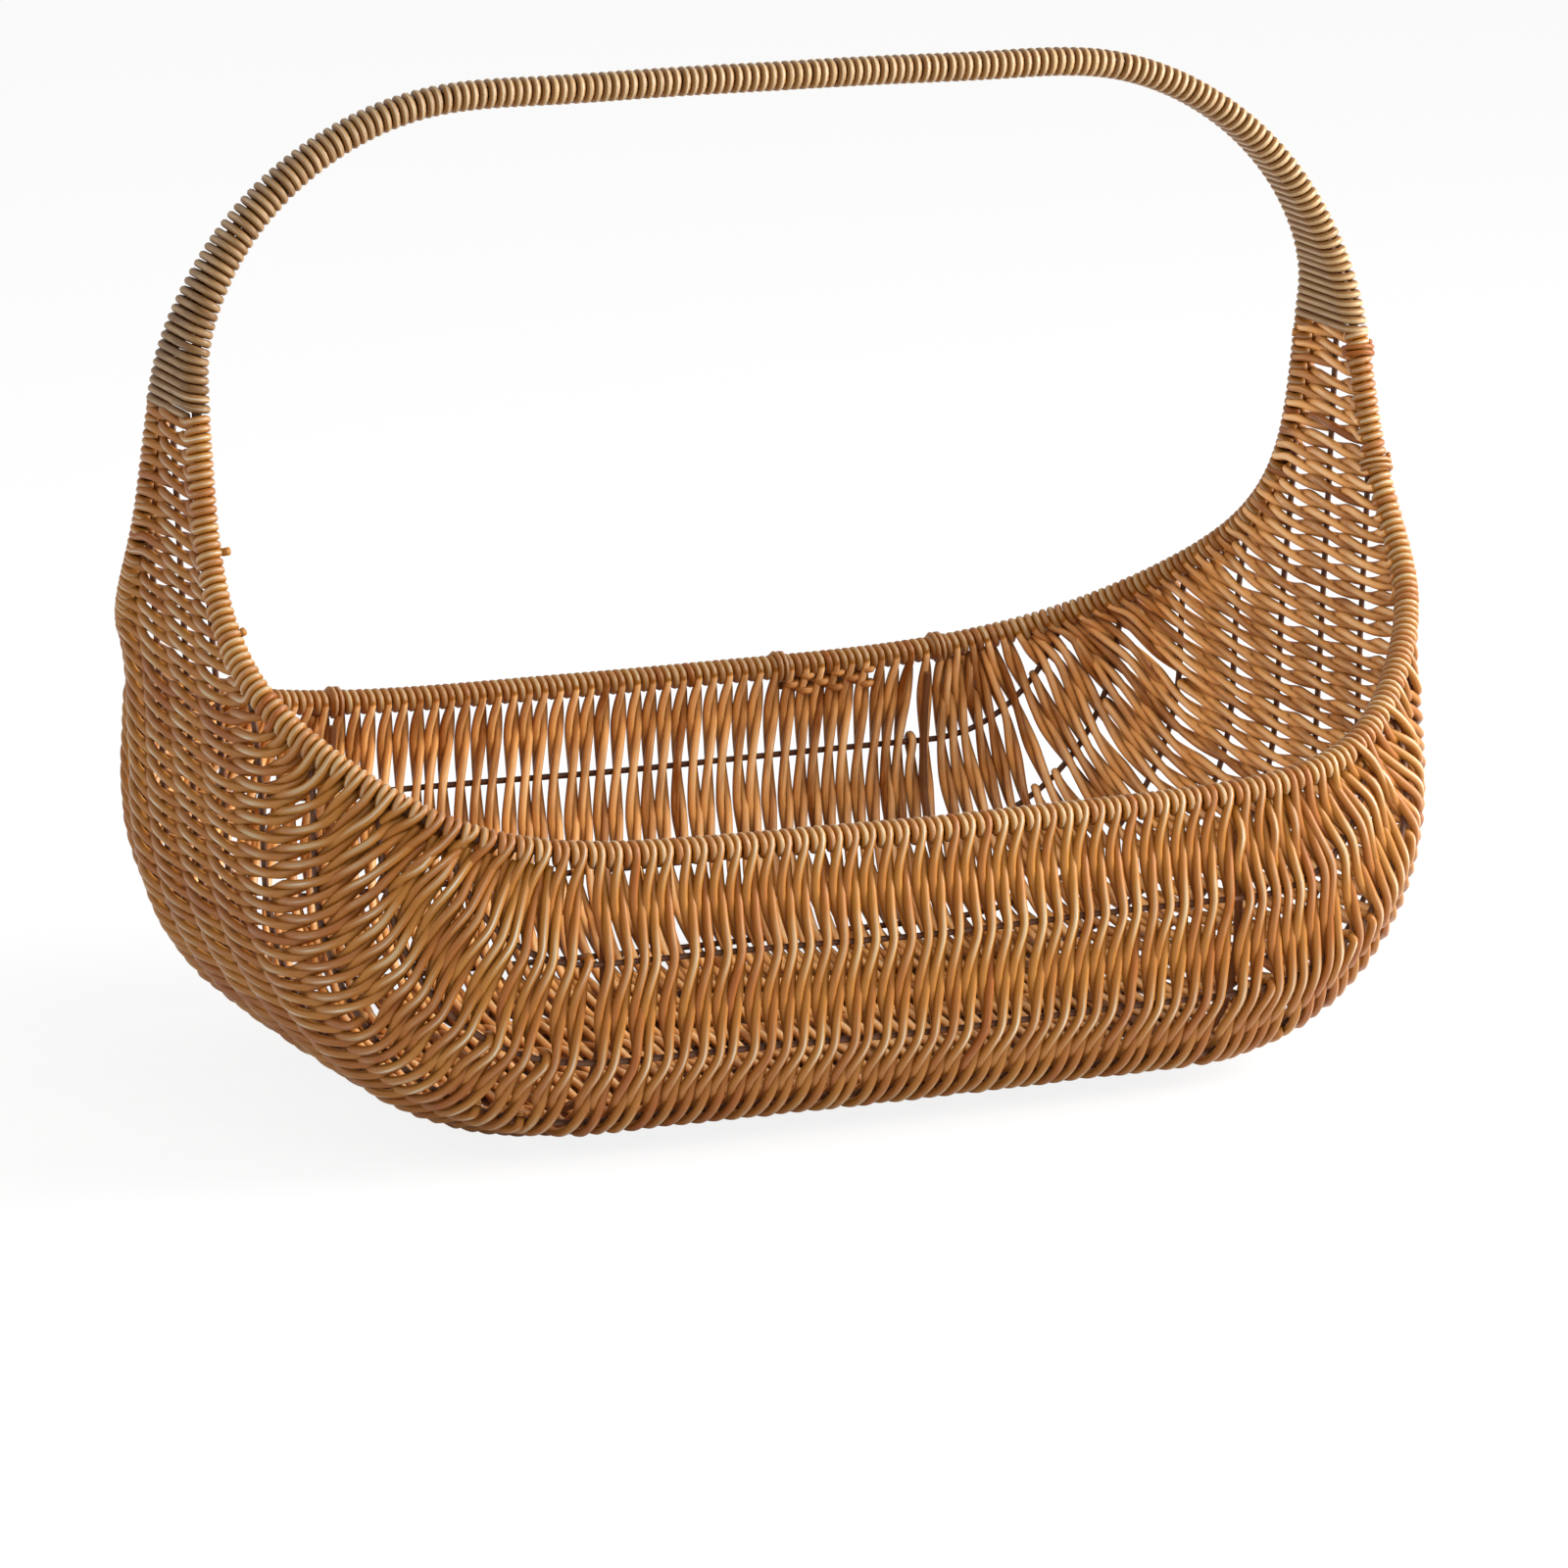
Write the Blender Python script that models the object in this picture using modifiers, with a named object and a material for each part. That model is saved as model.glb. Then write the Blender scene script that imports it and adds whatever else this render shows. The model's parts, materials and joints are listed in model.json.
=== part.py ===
"""Oval rattan basket on a wire frame, with a fixed wound handle.

Two closed hoops lie side by side along the top of the handle, part above the
feet and sweep down as the front and the back rim.  Eleven ribs run from end to
end, two cross frames run from rim to rim, and the woven wall fills the panels
between the ribs.  The handle and both rims are wound with the same strand.

Lengths are in metres and +Z is up.  X runs along the basket, -Y is its front,
and the origin lies under its middle on the surface that it stands on.
"""
import math

import bpy
import numpy as np

# Strand, wire and clearances
STRAND_DIAMETER = 0.0026
ROD_DIAMETER = 0.0030
RIB_DIAMETER = 0.0020
FRAME_DIAMETER = 0.0029
SEAT_GAP = 0.0003
RIB_GAP = 0.0004
EDGE_GAP = 0.0009
WINDING_GAP = 0.0009

# Handle and rim
FOOT_HALF_LENGTH = 0.1970
FOOT_HEIGHT = 0.2204
FOOT_SPREAD = 0.0160
HANDLE_HEIGHT = 0.3121
RIM_HALF_WIDTH = 0.1190
RIM_LOW_HEIGHT = 0.0976

# Woven body, on the middle of the wall's thickness: how far the keel's top stands out
# past the feet, and how far the end wall's foot and the straight part lie inside them
KEEL_TOP_STEP = 0.0015
END_WALL_INSET = 0.0039
STRAIGHT_PART_INSET = 0.0910
END_CORNER_LENGTH = 0.0835
END_CORNER_HEIGHT = 0.0842
FLAT_HALF_WIDTH = 0.0450
SIDE_BULGE = 0.0063

# Ribs, counted outwards from the keel on each side
RIBS_PER_SIDE = 5

# Facets across each woven panel, counted outwards from the keel, and the longest
# step between the rows of facets.  A panel is as thick as two strands and a rib along
# its edges, and as one strand half way between them, but the ones beside the keel,
# which the basket stands on, are level
PANEL_SEGMENTS = (2, 2, 2, 3, 2, 2)
LEVEL_PANELS = 1
LONGEST_STEP = 0.0195

# Winding at the feet of the handle
WINDING_LOOPS = 12
LOOP_POINTS = 24

ROD_RADIUS = ROD_DIAMETER / 2
RIB_RADIUS = RIB_DIAMETER / 2
STRAND_RADIUS = STRAND_DIAMETER / 2
FRAME_RADIUS = FRAME_DIAMETER / 2
WALL = RIB_DIAMETER + 2 * STRAND_DIAMETER
BOTTOM_HEIGHT = WALL / 2
ROD_SPREAD = ROD_RADIUS + SEAT_GAP / 2
KEEL_TOP_HALF_LENGTH = FOOT_HALF_LENGTH + KEEL_TOP_STEP
END_HALF_LENGTH = FOOT_HALF_LENGTH - END_WALL_INSET
STRAIGHT_HALF_LENGTH = FOOT_HALF_LENGTH - STRAIGHT_PART_INSET
SLEEVE_BORE = ROD_RADIUS + RIB_GAP
SLEEVE_RADIUS = SLEEVE_BORE + STRAND_DIAMETER
WINDING_RADIUS = SLEEVE_BORE + STRAND_RADIUS
WINDING_PITCH = STRAND_DIAMETER + WINDING_GAP
WINDING_START = SEAT_GAP + STRAND_RADIUS

# Rim from the foot to the middle of the side, as shares of the foot's half length,
# of the rim's half width and of the height from the low rim up to the foot
RIM_SHARES = (
    (0.997, 0.142, 1.000),
    (1.004, 0.255, 0.666),
    (0.985, 0.487, 0.394),
    (0.907, 0.691, 0.235),
    (0.723, 0.940, 0.066),
    (0.434, 0.992, 0.007),
    (0.171, 0.996, 0.002),
    (0.000, 1.000, 0.000),
)

# Handle from the foot to the middle of the top, as shares of the foot's half
# length, of the way the rods still stand apart and of the height from foot to top
HANDLE_SHARES = (
    (0.988, 0.640, 0.190),
    (0.962, 0.390, 0.355),
    (0.884, 0.180, 0.615),
    (0.760, 0.060, 0.835),
    (0.590, 0.000, 0.975),
    (0.388, 0.000, 0.996),
    (0.196, 0.000, 1.000),
    (0.000, 0.000, 1.000),
)

# Where a row that leaves the rim reaches the keel, both as shares of the end part
ROW_RIM_SHARES = (0.0, 0.20, 0.45, 0.69, 0.76, 0.88, 1.0)
ROW_KEEL_SHARES = (0.0, 0.15, 0.33, 0.51, 0.60, 0.78, 1.0)

# How square the rows are at shares of the rim's end part, 2 being an ellipse
SQUARE_PLACE_SHARES = (0.0, 0.45, 0.75, 1.0)
SQUARENESS = (2.0, 1.75, 2.6, 3.5)

# Widest spacing of the ribs, as a share of the middle row from keel to rim
WIDEST_SPACING_SHARE = 0.1672423

# Spacing of the ribs at shares of the rim's end part, as shares of the widest
SPACING_PLACE_SHARES = (0.0, 0.19, 0.43, 0.70, 1.0)
SPACING_SHARES = (0.68, 0.77, 0.83, 0.875, 1.0)

# Share of a turn round both rods that lies flat across the gap between them
FLAT_SHARE = 1 / 6

# Points on fine curves, halvings of a search, and sections of the sleeves
SAMPLES = 240
SLOPE_SAMPLES = 30
HALVINGS = 40
SLEEVE_SIDES = 12
HANDLE_SECTIONS = 15
FOOT_SECTIONS = 5


def arc_lengths(points):
    """Return the length along a polyline at each of its points."""
    steps = np.linalg.norm(np.diff(points, axis=0), axis=1)
    return np.concatenate([[0.0], np.cumsum(steps)])


def at_length(points, lengths, wanted):
    """Return the points of a polyline at the wanted lengths."""
    columns = [np.interp(wanted, lengths, points[:, axis]) for axis in range(points.shape[1])]
    return np.stack(columns, axis=-1)


def smooth_curve(knots, count):
    """Return points on the natural cubic curve through the knots."""
    knots = np.asarray(knots, dtype=float)
    place = arc_lengths(knots)
    gaps = np.diff(place)
    size = len(knots)
    matrix = np.eye(size)
    right = np.zeros_like(knots)
    for index in range(1, size - 1):
        matrix[index, index - 1] = gaps[index - 1]
        matrix[index, index] = 2 * (gaps[index - 1] + gaps[index])
        matrix[index, index + 1] = gaps[index]
        after = (knots[index + 1] - knots[index]) / gaps[index]
        before = (knots[index] - knots[index - 1]) / gaps[index - 1]
        right[index] = 6 * (after - before)
    bend = np.linalg.solve(matrix, right)
    wanted = np.linspace(0, place[-1], count)
    left = np.clip(np.searchsorted(place, wanted, side="right") - 1, 0, size - 2)
    gap = gaps[left][:, None]
    ahead = (place[left + 1] - wanted)[:, None]
    behind = (wanted - place[left])[:, None]
    return (
        (bend[left] * ahead ** 3 + bend[left + 1] * behind ** 3) / (6 * gap)
        + (knots[left] / gap - bend[left] * gap / 6) * ahead
        + (knots[left + 1] / gap - bend[left + 1] * gap / 6) * behind
    )


def mirrored_curve(half, count):
    """Smooth a half curve together with its mirror image and return the half."""
    half = np.asarray(half, dtype=float)
    other = half[::-1][1:] * np.array([-1.0, 1.0, 1.0])
    whole = smooth_curve(np.concatenate([half, other]), 2 * count - 1)
    return whole[:count]


def hoop_halves():
    """Return the rim half and the handle half of the back hoop, each from the foot."""
    rise = FOOT_HEIGHT - RIM_LOW_HEIGHT
    climb = HANDLE_HEIGHT - FOOT_HEIGHT
    rim = [
        (x * FOOT_HALF_LENGTH, y * RIM_HALF_WIDTH, RIM_LOW_HEIGHT + z * rise)
        for x, y, z in RIM_SHARES
    ]
    handle = [
        (x * FOOT_HALF_LENGTH, ROD_SPREAD + y * (FOOT_SPREAD - ROD_SPREAD), FOOT_HEIGHT + z * climb)
        for x, y, z in HANDLE_SHARES
    ]
    whole = mirrored_curve(handle[::-1] + rim, 4 * SAMPLES)
    foot = int(np.argmin(np.linalg.norm(whole - np.array(rim[0]), axis=1)))
    return whole[foot:], whole[:foot + 1][::-1]


RIM, HANDLE = hoop_halves()
RIM_LENGTHS = arc_lengths(RIM)
HANDLE_LENGTHS = arc_lengths(HANDLE)
SLEEVE_START = WINDING_START + WINDING_LOOPS * WINDING_PITCH + STRAND_RADIUS + EDGE_GAP
SLEEVE_LENGTHS = np.linspace(SLEEVE_START, HANDLE_LENGTHS[-1], HANDLE_SECTIONS)
RIM_HALF_LENGTH = RIM_LENGTHS[-1]
END_LENGTH = float(np.interp(-STRAIGHT_HALF_LENGTH, -RIM[:, 0], RIM_LENGTHS))


def keel_profile():
    """Return the end wall, the corner and the bottom of the keel in the XZ plane."""
    corner = np.linspace(0, math.pi / 2, SAMPLES)
    centre = END_HALF_LENGTH - END_CORNER_LENGTH
    wall = np.linspace([KEEL_TOP_HALF_LENGTH, FOOT_HEIGHT],
                       [END_HALF_LENGTH, BOTTOM_HEIGHT + END_CORNER_HEIGHT], SAMPLES)[:-1]
    bend = np.stack([
        centre + END_CORNER_LENGTH * np.cos(corner),
        BOTTOM_HEIGHT + END_CORNER_HEIGHT * (1 - np.sin(corner)),
    ], axis=-1)
    bottom = np.array([[0.0, BOTTOM_HEIGHT]])
    return np.concatenate([wall, bend, bottom])


KEEL = keel_profile()
KEEL_LENGTHS = arc_lengths(KEEL)
KEEL_END_LENGTH = KEEL_LENGTHS[-1] - STRAIGHT_HALF_LENGTH


def keel_point(station):
    """Return X and Z where the row at a station of the rim crosses the keel."""
    share = station / END_LENGTH
    if share < 1:
        along = KEEL_END_LENGTH * np.interp(share, ROW_RIM_SHARES, ROW_KEEL_SHARES)
    else:
        reach = np.interp(station, RIM_LENGTHS, RIM[:, 0])
        along = KEEL_LENGTHS[-1] - reach
    return at_length(KEEL, KEEL_LENGTHS, along)


def row_curve(station):
    """Return the wall's middle line from the keel to the rim, for positive X and Y."""
    rim = at_length(RIM, RIM_LENGTHS, station)
    keel = keel_point(station)
    share = min(station / END_LENGTH, 1.0)
    square = np.interp(share, SQUARE_PLACE_SHARES, SQUARENESS)
    turn = np.linspace(0, math.pi / 2, SAMPLES)
    depth = np.cos(turn) ** (2 / square)
    flat = share * FLAT_HALF_WIDTH * rim[1] / RIM_HALF_WIDTH
    across = flat + (rim[1] - flat) * np.sin(turn) ** (2 / square)
    across = across + share * SIDE_BULGE * (rim[1] / RIM_HALF_WIDTH) * 4 * depth * (1 - depth)
    along = rim[0] + (keel[0] - rim[0]) * depth
    height = rim[2] + (keel[1] - rim[2]) * depth
    row = np.stack([along, across, height], axis=-1)
    middle = np.array([[keel[0], 0.0, keel[1]]])
    return np.concatenate([middle, row]) if flat > 0 else row


RIB_SPACING = WIDEST_SPACING_SHARE * arc_lengths(row_curve(RIM_HALF_LENGTH))[-1]


def rib_spacing(station):
    """Return the spacing of the ribs along the row at a station."""
    share = min(station / END_LENGTH, 1.0)
    return RIB_SPACING * float(np.interp(share, SPACING_PLACE_SHARES, SPACING_SHARES))


def row_half_length(station, clearance):
    """Return the length of a row from the keel to a distance from the rim's centre line."""
    row = row_curve(station)
    nearby = np.clip([station - STRAND_DIAMETER, station + STRAND_DIAMETER], 0, RIM_HALF_LENGTH)
    before, after = at_length(RIM, RIM_LENGTHS, nearby)
    along_rim = (after - before) / np.linalg.norm(after - before)
    leaving = row[-1] - row[-SLOPE_SAMPLES]
    leaving = leaving / np.linalg.norm(leaving)
    slant = np.linalg.norm(np.cross(along_rim, leaving))
    return arc_lengths(row)[-1] - clearance / slant


def rib_end(number):
    """Return the station at which a rib meets the wound rim."""
    clearance = SLEEVE_RADIUS + RIB_RADIUS + SEAT_GAP
    low, high = FIRST_STATION, RIM_HALF_LENGTH
    for _ in range(HALVINGS):
        middle = (low + high) / 2
        if row_half_length(middle, clearance) < number * rib_spacing(middle):
            low = middle
        else:
            high = middle
    return high


# The body starts below the winding that ends on the foot
FIRST_STATION = SEAT_GAP + STRAND_DIAMETER / 2
RIB_ENDS = [FIRST_STATION] + [rib_end(number) for number in range(1, RIBS_PER_SIDE + 1)]


def row_stations():
    """Return the stations of half the body: every rib's end, and steps between."""
    marks = sorted(RIB_ENDS + [END_LENGTH])
    stations = [marks[0]]
    for start, stop in zip(marks[:-1], marks[1:]):
        steps = max(1, math.ceil((stop - start) / LONGEST_STEP))
        stations += [start + (stop - start) * step / steps for step in range(1, steps)]
        stations.append(stop)
    half_way = (END_LENGTH + RIM_HALF_LENGTH) / 2
    return stations + [half_way, RIM_HALF_LENGTH]


STATIONS = row_stations()
ROWS = {station: row_curve(station) for station in STATIONS}
ROW_LENGTHS = {station: arc_lengths(ROWS[station]) for station in STATIONS}


def wall_point(station, girth):
    """Return a point of the wall's middle surface, at a length out from the keel."""
    return at_length(ROWS[station], ROW_LENGTHS[station], girth)


def new_material(name, colour, roughness, metallic):
    """Return a plain surface of one colour."""
    material = bpy.data.materials.new(name)
    material.use_nodes = True
    shader = material.node_tree.nodes["Principled BSDF"]
    shader.inputs["Base Color"].default_value = (*colour, 1.0)
    shader.inputs["Roughness"].default_value = roughness
    shader.inputs["Metallic"].default_value = metallic
    material.diffuse_color = (*colour, 1.0)
    return material


def add_object(name, data, material):
    """Put an object into the basket's collection."""
    data.materials.append(material)
    made = bpy.data.objects.new(name, data)
    basket.objects.link(made)
    return made


def add_wire(name, points, radius, material, closed=False):
    """Add a round wire along the points, with closed ends."""
    curve = bpy.data.curves.new(name, "CURVE")
    curve.dimensions = "3D"
    curve.bevel_depth = radius
    curve.bevel_resolution = 1
    curve.use_fill_caps = not closed
    spline = curve.splines.new("POLY")
    spline.points.add(len(points) - 1)
    for target, point in zip(spline.points, points):
        target.co = (*point, 1.0)
    spline.use_cyclic_u = closed
    spline.use_smooth = True
    return add_object(name, curve, material)


def add_sheet(name, grid, thickness, material, joined=False):
    """Add a shell whose middle surface is the grid of points."""
    rows, columns = len(grid), len(grid[0])
    vertices = [tuple(point) for line in grid for point in line]
    faces = []
    for row in range(rows - 1):
        for column in range(columns if joined else columns - 1):
            after = (column + 1) % columns
            faces.append((
                row * columns + column,
                row * columns + after,
                (row + 1) * columns + after,
                (row + 1) * columns + column,
            ))
    mesh = bpy.data.meshes.new(name)
    mesh.from_pydata(vertices, [], faces)
    mesh.shade_smooth()
    made = add_object(name, mesh, material)
    solid = made.modifiers.new("Thickness", "SOLIDIFY")
    solid.thickness = thickness
    solid.offset = 0
    solid.use_even_offset = True
    return made


def swell_at_ribs(panel, columns):
    """Thin a woven panel between its ribs, where its two strands lie side by side."""
    group = panel.vertex_groups.new(name="swell")
    for vertex in panel.data.vertices:
        share = (vertex.index % columns) / (columns - 1)
        group.add([vertex.index], abs(math.cos(math.pi * share)), "REPLACE")
    solid = panel.modifiers["Thickness"]
    solid.vertex_group = group.name
    solid.thickness_vertex_group = STRAND_DIAMETER / WALL


def both_ends(half):
    """Return a line that runs from the left end to the right, from its right half."""
    half = np.asarray(half)
    left = half * np.array([-1.0, 1.0, 1.0])
    return np.concatenate([left[:-1], half[::-1]])


def crossing_gap(number, station):
    """Return the length along a row that keeps a panel's edge clear of a rib."""
    step = STRAND_DIAMETER
    girth = number * rib_spacing(station)
    nearby = [max(station - step, 0.0), min(station + step, RIM_HALF_LENGTH)]
    rib = []
    for place in nearby:
        row = row_curve(place)
        rib.append(at_length(row, arc_lengths(row), number * rib_spacing(place)))
    along_rib = (rib[1] - rib[0]) / np.linalg.norm(rib[1] - rib[0])
    along_row = wall_point(station, girth + step) - wall_point(station, max(girth - step, 0.0))
    along_row = along_row / np.linalg.norm(along_row)
    slant = np.linalg.norm(np.cross(along_rib, along_row))
    return (RIB_RADIUS + RIB_GAP) / slant


def rib_line(number, side):
    """Return the points of a rib, side being -1 for the front and 1 for the back."""
    start = RIB_ENDS[number]
    half = [
        wall_point(station, number * rib_spacing(station))
        for station in STATIONS
        if station >= start
    ]
    return both_ends(half) * np.array([1.0, side, 1.0])


def add_ribs(material):
    """Add the keel and the ribs on both sides of it."""
    add_wire("rib_keel", rib_line(0, 1), RIB_RADIUS, material)
    for number in range(1, RIBS_PER_SIDE + 1):
        add_wire(f"rib_front_{number}", rib_line(number, -1), RIB_RADIUS, material)
        add_wire(f"rib_back_{number}", rib_line(number, 1), RIB_RADIUS, material)


def panel_row(number, station):
    """Return the width of a panel on a row and its points from the rib outwards."""
    spacing = rib_spacing(station)
    inner = number * spacing + crossing_gap(number, station)
    outer = row_half_length(station, SLEEVE_RADIUS + EDGE_GAP)
    if number < RIBS_PER_SIDE and station >= RIB_ENDS[number + 1]:
        outer = (number + 1) * spacing - crossing_gap(number + 1, station)
    girths = np.linspace(inner, outer, PANEL_SEGMENTS[number] + 1)
    return outer - inner, np.array([wall_point(station, girth) for girth in girths])


def panel_grid(number, side):
    """Return the middle surface of the woven panel outside a rib."""
    rows = [panel_row(number, station) for station in STATIONS if station >= RIB_ENDS[number]]
    half = []
    for (width, points), (next_width, next_points) in zip(rows[:-1], rows[1:]):
        if width >= STRAND_DIAMETER:
            half.append(points)
        elif next_width > STRAND_DIAMETER:
            share = (STRAND_DIAMETER - width) / (next_width - width)
            half.append(points + share * (next_points - points))
    half.append(rows[-1][1])
    half = np.array(half)
    left = half * np.array([-1.0, 1.0, 1.0])
    grid = np.concatenate([left[:-1], half[::-1]]) * np.array([1.0, side, 1.0])
    return grid if side > 0 else grid[:, ::-1]


def add_panels(material):
    """Add the woven wall between the ribs and out to both rims."""
    for number in range(RIBS_PER_SIDE + 1):
        for name, side in (("front", -1), ("back", 1)):
            grid = panel_grid(number, side)
            panel = add_sheet(f"weave_{name}_{number + 1}", grid, WALL, material)
            if number >= LEVEL_PANELS:
                swell_at_ribs(panel, len(grid[0]))


def rim_line():
    """Return the centre line of the back rim from foot to foot."""
    half = [at_length(RIM, RIM_LENGTHS, station) for station in STATIONS]
    return both_ends(half)


def handle_line():
    """Return the centre line of the back rod along the handle, from left to right."""
    foot = np.linspace(0, SLEEVE_START, FOOT_SECTIONS)[1:-1]
    wanted = np.concatenate([foot, SLEEVE_LENGTHS])
    return both_ends(at_length(HANDLE, HANDLE_LENGTHS, wanted))


def add_hoops(material):
    """Add the two closed hoops that make the handle and the rims."""
    back = np.concatenate([rim_line(), handle_line()[::-1]])
    add_wire("hoop_back", back, ROD_RADIUS, material, closed=True)
    add_wire("hoop_front", back * np.array([1.0, -1.0, 1.0]), ROD_RADIUS, material, closed=True)


def add_rim_wraps(material):
    """Add the wound sleeve on each rim."""
    for name, side in (("rim_wrap_front", -1.0), ("rim_wrap_back", 1.0)):
        curve_object = add_wire(name, rim_line() * np.array([1.0, side, 1.0]),
                                (SLEEVE_RADIUS + SLEEVE_BORE) / 2, material)
        curve_object.data.bevel_resolution = 2
        curve_object.data.use_fill_caps = False
        solid = curve_object.modifiers.new("Thickness", "SOLIDIFY")
        solid.thickness = SLEEVE_RADIUS - SLEEVE_BORE
        solid.offset = 0


def handle_frame(length):
    """Return the handle's middle, its outward direction and the rods' spread."""
    step = STRAND_RADIUS
    before, here, after = at_length(HANDLE, HANDLE_LENGTHS, [length - step, length, length + step])
    if length < step:
        before = here
    if length > HANDLE_LENGTHS[-1] - step:
        after = here + (here - before) * np.array([1.0, 0.0, -1.0])
    along = (after - before) * np.array([1.0, 0.0, 1.0])
    along = along / np.linalg.norm(along)
    outward = np.array([along[2], 0.0, -along[0]])
    middle = here * np.array([1.0, 0.0, 1.0])
    return middle, outward, here[1]


def wound_point(length, turn):
    """Return a point of the line that winds round both rods, at a share of a turn."""
    middle, outward, spread = handle_frame(length)
    turn = turn % 1.0
    half_turn = turn % 0.5
    if half_turn < FLAT_SHARE:
        across = spread * (2 * half_turn / FLAT_SHARE - 1)
        lift = WINDING_RADIUS
    else:
        angle = math.pi * (half_turn - FLAT_SHARE) / (0.5 - FLAT_SHARE)
        across = spread + WINDING_RADIUS * math.sin(angle)
        lift = WINDING_RADIUS * math.cos(angle)
    if turn >= 0.5:
        across, lift = -across, -lift
    return middle + np.array([0.0, across, 0.0]) + lift * outward


def add_handle_wrap(material):
    """Add the wound sleeve over both rods, between the windings on the feet."""
    turns = np.arange(SLEEVE_SIDES) / SLEEVE_SIDES
    half = np.array([[wound_point(length, turn) for turn in turns] for length in SLEEVE_LENGTHS])
    left = half * np.array([-1.0, 1.0, 1.0])
    grid = np.concatenate([half[:-1], left[::-1]])
    add_sheet("handle_wrap", grid, STRAND_DIAMETER, material, joined=True)


def winding_line():
    """Return one unbroken line of turns round the rods at the right foot."""
    count = WINDING_LOOPS * LOOP_POINTS
    turns = [index / LOOP_POINTS for index in range(count + 1)]
    points = [wound_point(WINDING_START + turn * WINDING_PITCH, -turn) for turn in turns]
    lead_in = points[0] - points[1]
    lead_out = points[-1] - points[-2]
    first = points[0] + STRAND_DIAMETER * lead_in / np.linalg.norm(lead_in)
    last = points[-1] + STRAND_DIAMETER * lead_out / np.linalg.norm(lead_out)
    return np.array([first, *points, last])


def least_self_gap(points):
    """Return the least gap between turns of a winding, measured on its points."""
    apart = np.linalg.norm(points[:, None] - points[None, :], axis=-1)
    order = np.arange(len(points))
    far_along = np.abs(order[:, None] - order[None, :]) > LOOP_POINTS // 2
    return apart[far_along].min() - STRAND_DIAMETER


def add_windings(material):
    """Add the open turns of the winding round both rods at each foot."""
    points = winding_line()
    add_wire("winding_right", points, STRAND_RADIUS, material)
    add_wire("winding_left", points * np.array([-1.0, -1.0, 1.0]), STRAND_RADIUS, material)
    print(f"least gap inside a winding: {least_self_gap(points) * 1000:.2f} mm")


def frame_line():
    """Return the line of a cross frame on the inside of the wall, front rim to back rim."""
    station = END_LENGTH
    spacing = rib_spacing(station)
    top = row_half_length(station, SLEEVE_RADIUS + FRAME_RADIUS + SEAT_GAP)
    girths = [0.0]
    for number, segments in enumerate(PANEL_SEGMENTS):
        stop = min((number + 1) * spacing, top)
        girths += list(np.linspace(number * spacing, stop, segments + 1)[1:])
    half = np.array([wall_point(station, girth) for girth in girths])
    line = np.concatenate([half[::-1] * np.array([1.0, -1.0, 1.0]), half[1:]])
    steps = np.diff(line[:, 1:], axis=0)
    steps = steps / np.linalg.norm(steps, axis=1)[:, None]
    inward = np.stack([-steps[:, 1], steps[:, 0]], axis=-1)
    corner = np.concatenate([inward[:1], inward[:-1] + inward[1:], inward[-1:]])
    corner = corner / np.linalg.norm(corner, axis=1)[:, None]
    facing = np.concatenate([inward[:1], inward])
    stretch = 1 / np.sum(corner * facing, axis=1)
    offset = WALL / 2 + EDGE_GAP + FRAME_RADIUS
    line[:, 1:] += offset * stretch[:, None] * corner
    return line


def add_frames(material):
    """Add the two cross frames."""
    right = frame_line()
    add_wire("frame_right", right, FRAME_RADIUS, material)
    add_wire("frame_left", right * np.array([-1.0, 1.0, 1.0]), FRAME_RADIUS, material)


def main():
    """Build every piece of the basket."""
    steel = new_material("dark_wire", (0.060, 0.035, 0.022), 0.55, 0.6)
    wrap = new_material("wound_rattan", (0.560, 0.380, 0.200), 0.50, 0.0)
    weave = new_material("woven_rattan", (0.420, 0.220, 0.080), 0.55, 0.0)
    add_hoops(steel)
    add_ribs(steel)
    add_panels(weave)
    add_frames(steel)
    add_rim_wraps(wrap)
    add_windings(wrap)
    add_handle_wrap(wrap)


for old in list(bpy.data.objects):
    bpy.data.objects.remove(old, do_unlink=True)
basket = bpy.data.collections.new("rattan_basket")
bpy.context.scene.collection.children.link(basket)
main()
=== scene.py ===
"""Looks of the oval rattan basket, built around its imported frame.

The wall is woven from two long round canes that twist round each other once in
every two ribs.  At each rim a cane winds one and a half times round the hoop and
goes back down as its partner in the next row.  A third cane winds both hoops
together along the handle.
"""

import json  # noqa: E402
import math  # noqa: E402

import bpy  # noqa: E402
import numpy as np  # noqa: E402
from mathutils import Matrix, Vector  # noqa: E402

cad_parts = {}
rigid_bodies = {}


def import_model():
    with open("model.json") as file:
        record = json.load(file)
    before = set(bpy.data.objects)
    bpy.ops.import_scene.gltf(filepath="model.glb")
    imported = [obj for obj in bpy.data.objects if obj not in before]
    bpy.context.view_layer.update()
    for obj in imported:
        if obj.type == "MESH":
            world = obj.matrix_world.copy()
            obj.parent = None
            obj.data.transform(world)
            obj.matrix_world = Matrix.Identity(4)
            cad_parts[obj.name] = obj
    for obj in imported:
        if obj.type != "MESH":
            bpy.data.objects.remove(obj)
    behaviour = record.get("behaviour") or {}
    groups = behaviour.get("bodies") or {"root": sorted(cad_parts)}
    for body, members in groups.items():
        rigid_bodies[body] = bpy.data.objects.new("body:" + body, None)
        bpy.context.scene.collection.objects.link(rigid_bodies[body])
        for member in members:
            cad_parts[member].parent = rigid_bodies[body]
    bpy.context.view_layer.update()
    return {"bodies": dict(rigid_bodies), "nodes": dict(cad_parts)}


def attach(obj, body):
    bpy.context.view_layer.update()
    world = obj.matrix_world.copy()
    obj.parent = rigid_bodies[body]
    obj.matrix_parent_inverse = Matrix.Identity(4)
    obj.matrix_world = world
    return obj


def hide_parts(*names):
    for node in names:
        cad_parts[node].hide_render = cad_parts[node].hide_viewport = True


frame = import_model()

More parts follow.
